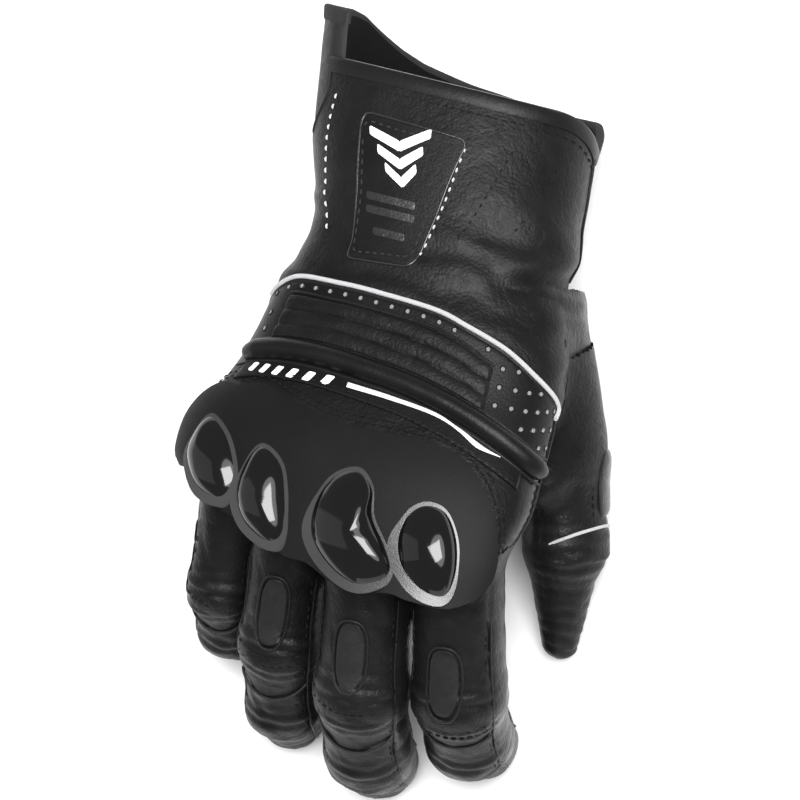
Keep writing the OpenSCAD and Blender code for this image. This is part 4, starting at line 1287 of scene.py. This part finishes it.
for name, (pts, c) in INSERTS.items():
    o = resample(spline(ay(pts), closed=True), 0.7, closed=True)
    c = ay([c])[0]
    tall = {"index": 5.4, "middle": 6.0, "ring": 5.4, "little": 4.8}[name]

    def bulge(d, uv, c=c, o=o, tall=tall):
        # share of the way from the middle to the rim, from the true outline
        q = uv - c
        ang = np.arctan2(q[:, 1], q[:, 0])
        oa = np.arctan2(o[:, 1] - c[1], o[:, 0] - c[0])
        order = np.argsort(oa)
        rr = np.interp(ang, oa[order], np.linalg.norm(o - c, axis=1)[order], period=2 * math.pi)
        s = np.clip(np.linalg.norm(q, axis=1) / rr, 0, 1)
        return 4.0 + tall * np.maximum(1 - s**2, 0) ** 0.62
    part = Part(f"{name}_insert_dome")
    v, f, n = dome(ch_loft, o, bulge, centre=c, rings=20, edge=(0, 0.12, 0.3, 0.6, 1.0, 1.6), low=3.2)
    part.add(v, f, GLOSS)
    part.make("hand", "gloss_insert", [f"{name}_insert"], crease=0)
    # rubber rim: thin all round, and wider toward the lower left, where the extra band of lighter rubber is a
    # painted highlight crescent
    away = unit(o - c)
    wide = 0.55 + 1.9 * smooth(-0.25, 0.9, away @ unit(np.array([0.55, -0.83])))
    grow = o + away * wide[:, None]
    v, f, n = dome(ch_loft, grow, puff(1.1, 1.3, 4.3, 0.5), centre=c, rings=4,
                   edge=(0, 0.25, 0.6, 1.0, 1.5), low=2.5)
    rims.add(v, f, RIM, n)
rims.make("hand", "rim", ["insert_rims"])

# ---------------------------------------------------------------- hand seams
part = Part("hand_seams")
side = spline([(0, 28), (-3, 14), (-4, 0), (-4, -14), (-6, -28), (-8, -40)])
ridge(part, ch_hand, ay(side), 0.45, 0.15, BLACK)
stitch_row(part, ch_hand, ay(side + np.array([3.2, 0])), THREAD, gap=2.5, length=1.7, r=0.22, off=0.2)
outer = spline([(182, 30), (184, 12), (185, -8), (186, -24)])
ridge(part, ch_hand, ay(outer), 0.45, 0.15, BLACK)
part.make("hand", "black_leather")

# ---------------------------------------------------------------- thumb
ch = FingerChart(thumb)
part = Part("thumb_pad_cushion")
o = squared(np.linspace(0, 2 * math.pi, 60, endpoint=False), 3.6, 9.5, 0.7) + [10.5, thumb.root + 9]
v, f, n = dome(ch, o, puff(1.5, 3.2, 0.3, 0.6), rings=8, edge=(0, 0.3, 0.7, 1.2))
part.add(v, f, PADL, n)
part.make(RIDES["thumb", 0], "black_leather", ["thumb_pad"], padded=0.7)
part = Part("thumb_piping_cord")
u = np.linspace(-9, 13, 40)
p, n = path_on(ch, pairs(u, thumb.root + 20.5 + 0.02 * (u - 4) ** 2), 0.35, 0.7)
part.add(*sweep(p, n, tube_profile(0.5)), PIPE)
part.make(RIDES["thumb", 1], "piping", ["thumb_piping"])

# ---------------------------------------------------------------- palm, strap
part = Part("palm_reinforcement_leather")
o = resample(rounded(ay([(312, -30), (238, -30), (236, -4), (300, -2)]), 5), 0.9, closed=True)
v, f, n = dome(ch_hand, o, puff(1.0, 1.0, 0.1, 0.5), rings=26)
part.add(v, f, SMOOTHL, n)
stitch_row(part, ch_hand, o + unit(o.mean(0) - o) * 2, THREAD, gap=2.6, length=1.8, r=0.22, off=1.2,
           closed=True)
part.make("hand", "palm_leather", ["palm_reinforcement"])

part = Part("palm_heel_cushion")
o = resample(rounded(ay([(262, 2), (218, 2), (222, 25), (262, 25)]), 6), 0.9, closed=True)
v, f, n = dome(ch_hand, o, puff(2.4, 6, 0.2, 0.6), rings=14)
part.add(v, f, PALM, n)
part.make("hand", "palm_leather", ["palm_heel_pad"], padded=0.7)


def band(name, node_name, a0, a1, y0, y1, o0, o1, mat, rides, slot="black_leather", rows=False):
    """A flat band round the wrist between angles a0 and a1, lengths y0 and y1 and levels o0 and o1.
    Its edges are rounded, and rows adds stitches inside them."""
    aa, tt = np.linspace(a0, a1, 70), np.linspace(0, 1, 16)
    A, T = np.meshgrid(aa, tt, indexing="ij")
    inside = np.minimum((np.minimum(T, 1 - T)) / 0.07, np.minimum(A - a0, a1 - A) / 1.6)
    edge = np.sqrt(np.clip(inside, 0, 1)) * 0.75 + 0.25
    Y = y0 + (y1 - y0) * T
    top, bot = hs(Y, A, o0 + (o1 - o0) * edge), hs(Y, A, o0 + 0 * edge)
    v, f = slab(top, bot, unit(top - hs(Y, A, -8)).reshape(-1, 3))
    part = Part(name).add(v, f, mat)
    if rows:
        for y in (y0 + 1.8, y1 - 1.8):
            stitch_row(part, ch_loft, pairs(s_of(np.linspace(a0 + 1.5, a1 - 1.5, 40)), y), THREAD,
                       gap=2.8, length=1.8, r=0.22, off=o1 + 0.08)
    part.make(rides, slot, [node_name])


band("strap_loop_sheet", "strap_loop_patch", 262.5, 294, 37.5, 54.5, 0.6, 1.75, HOOK, "hand", "hook_loop")
band("strap_anchor_leather", "strap_anchor", 217.5, 231.5, 36, 56, 0.6, 4.6, PALM, "hand", rows=True)
band("strap_hook_sheet", "strap_hook_patch", 265, 292.5, 38, 54, 1.85, 2.9, HOOK, "strap", "hook_loop")
band("wrist_strap_leather", "wrist_strap", 232.5, 296, 36, 56, 2.9, 4.6, SMOOTHL, "strap", rows=True)
band("strap_end_tab_rubber", "strap_end_tab", 286, 295, 39, 53, 4.65, 5.8, GUARD, "strap")

# ---------------------------------------------------------------- floor, light, camera
def plane(name, size, z):
    me = bpy.data.meshes.new(name)
    s = size / 2
    me.from_pydata([(-s, -s, z), (s, -s, z), (s, s, z), (-s, s, z)], [], [(0, 1, 2, 3)])
    ob = bpy.data.objects.new(name, me)
    bpy.context.scene.collection.objects.link(ob)
    return ob


floor = plane("floor", 12, -0.0005)
m, nt, sh = material("floor_pale")
sh.inputs["Base Color"].default_value = (0.9, 0.9, 0.9, 1)
sh.inputs["Roughness"].default_value = 0.9
floor.data.materials.append(m)

world = bpy.data.worlds.new("world")
world.use_nodes = True
world.node_tree.nodes["Background"].inputs[0].default_value = (1, 1, 1, 1)
world.node_tree.nodes["Background"].inputs[1].default_value = 0.32
bpy.context.scene.world = world


def lamp(name, at, aim, size, power):
    data = bpy.data.lights.new(name, "AREA")
    data.shape, data.size, data.size_y, data.energy = "RECTANGLE", size[0], size[1], power
    ob = bpy.data.objects.new(name, data)
    ob.location = at
    ob.rotation_mode = "QUATERNION"
    ob.rotation_quaternion = (Vector(aim) - Vector(at)).to_track_quat("-Z", "Y")
    ob.visible_camera = False
    bpy.context.scene.collection.objects.link(ob)


RHO, SIGMA = math.radians(15), math.radians(14)     # the camera's turn to the thumb side, and its roll
FAR, VIEW_WIDTH, SENSOR = 5.0, 0.8 / 3.5, 36        # camera distance and width seen in m, sensor in mm
back_dir = Vector((math.sin(RHO), 0, math.cos(RHO)))
xi, eta = Vector((math.cos(RHO), 0, -math.sin(RHO))), Vector((0, 1, 0))
right_dir = xi * math.cos(SIGMA) + eta * math.sin(SIGMA)
up_dir = -xi * math.sin(SIGMA) + eta * math.cos(SIGMA)


def toward(right, up, back, far):
    return (right_dir * right + up_dir * up + back_dir * back).normalized() * far


lamp("window", toward(-0.06, 0.14, 1.0, 1.5), (0, 0, 0.05), (0.75, 0.9), 34)
lamp("left_strip", toward(-1.4, 0.1, 0.35, 1.3), (0, 0, 0.05), (0.9, 1.6), 2.5)
lamp("low_strip", toward(0.1, -1.4, 0.3, 1.3), (0, 0, 0.03), (1.6, 0.8), 5)
sun_data = bpy.data.lights.new("sky", "SUN")
sun_data.energy, sun_data.angle = 2.3, math.radians(50)
sun = bpy.data.objects.new("sky", sun_data)
sun.rotation_mode = "QUATERNION"
sun.rotation_quaternion = (-toward(0.1, 0.2, 1.0, 1.0)).to_track_quat("-Z", "Y")
bpy.context.scene.collection.objects.link(sun)

cam_data = bpy.data.cameras.new("camera")
cam = bpy.data.objects.new("camera", cam_data)
bpy.context.scene.collection.objects.link(cam)
focus = back_dir * 0.047 - Vector(ORIGIN / 1000)
turned = Matrix((right_dir, up_dir, back_dir)).transposed().to_4x4()
cam.matrix_world = Matrix.Translation(focus + back_dir * FAR) @ turned
cam_data.sensor_width = SENSOR
cam_data.lens = SENSOR * FAR / VIEW_WIDTH
cam_data.clip_end = 50
bpy.context.scene.camera = cam
bpy.context.scene.view_settings.view_transform = "Standard"
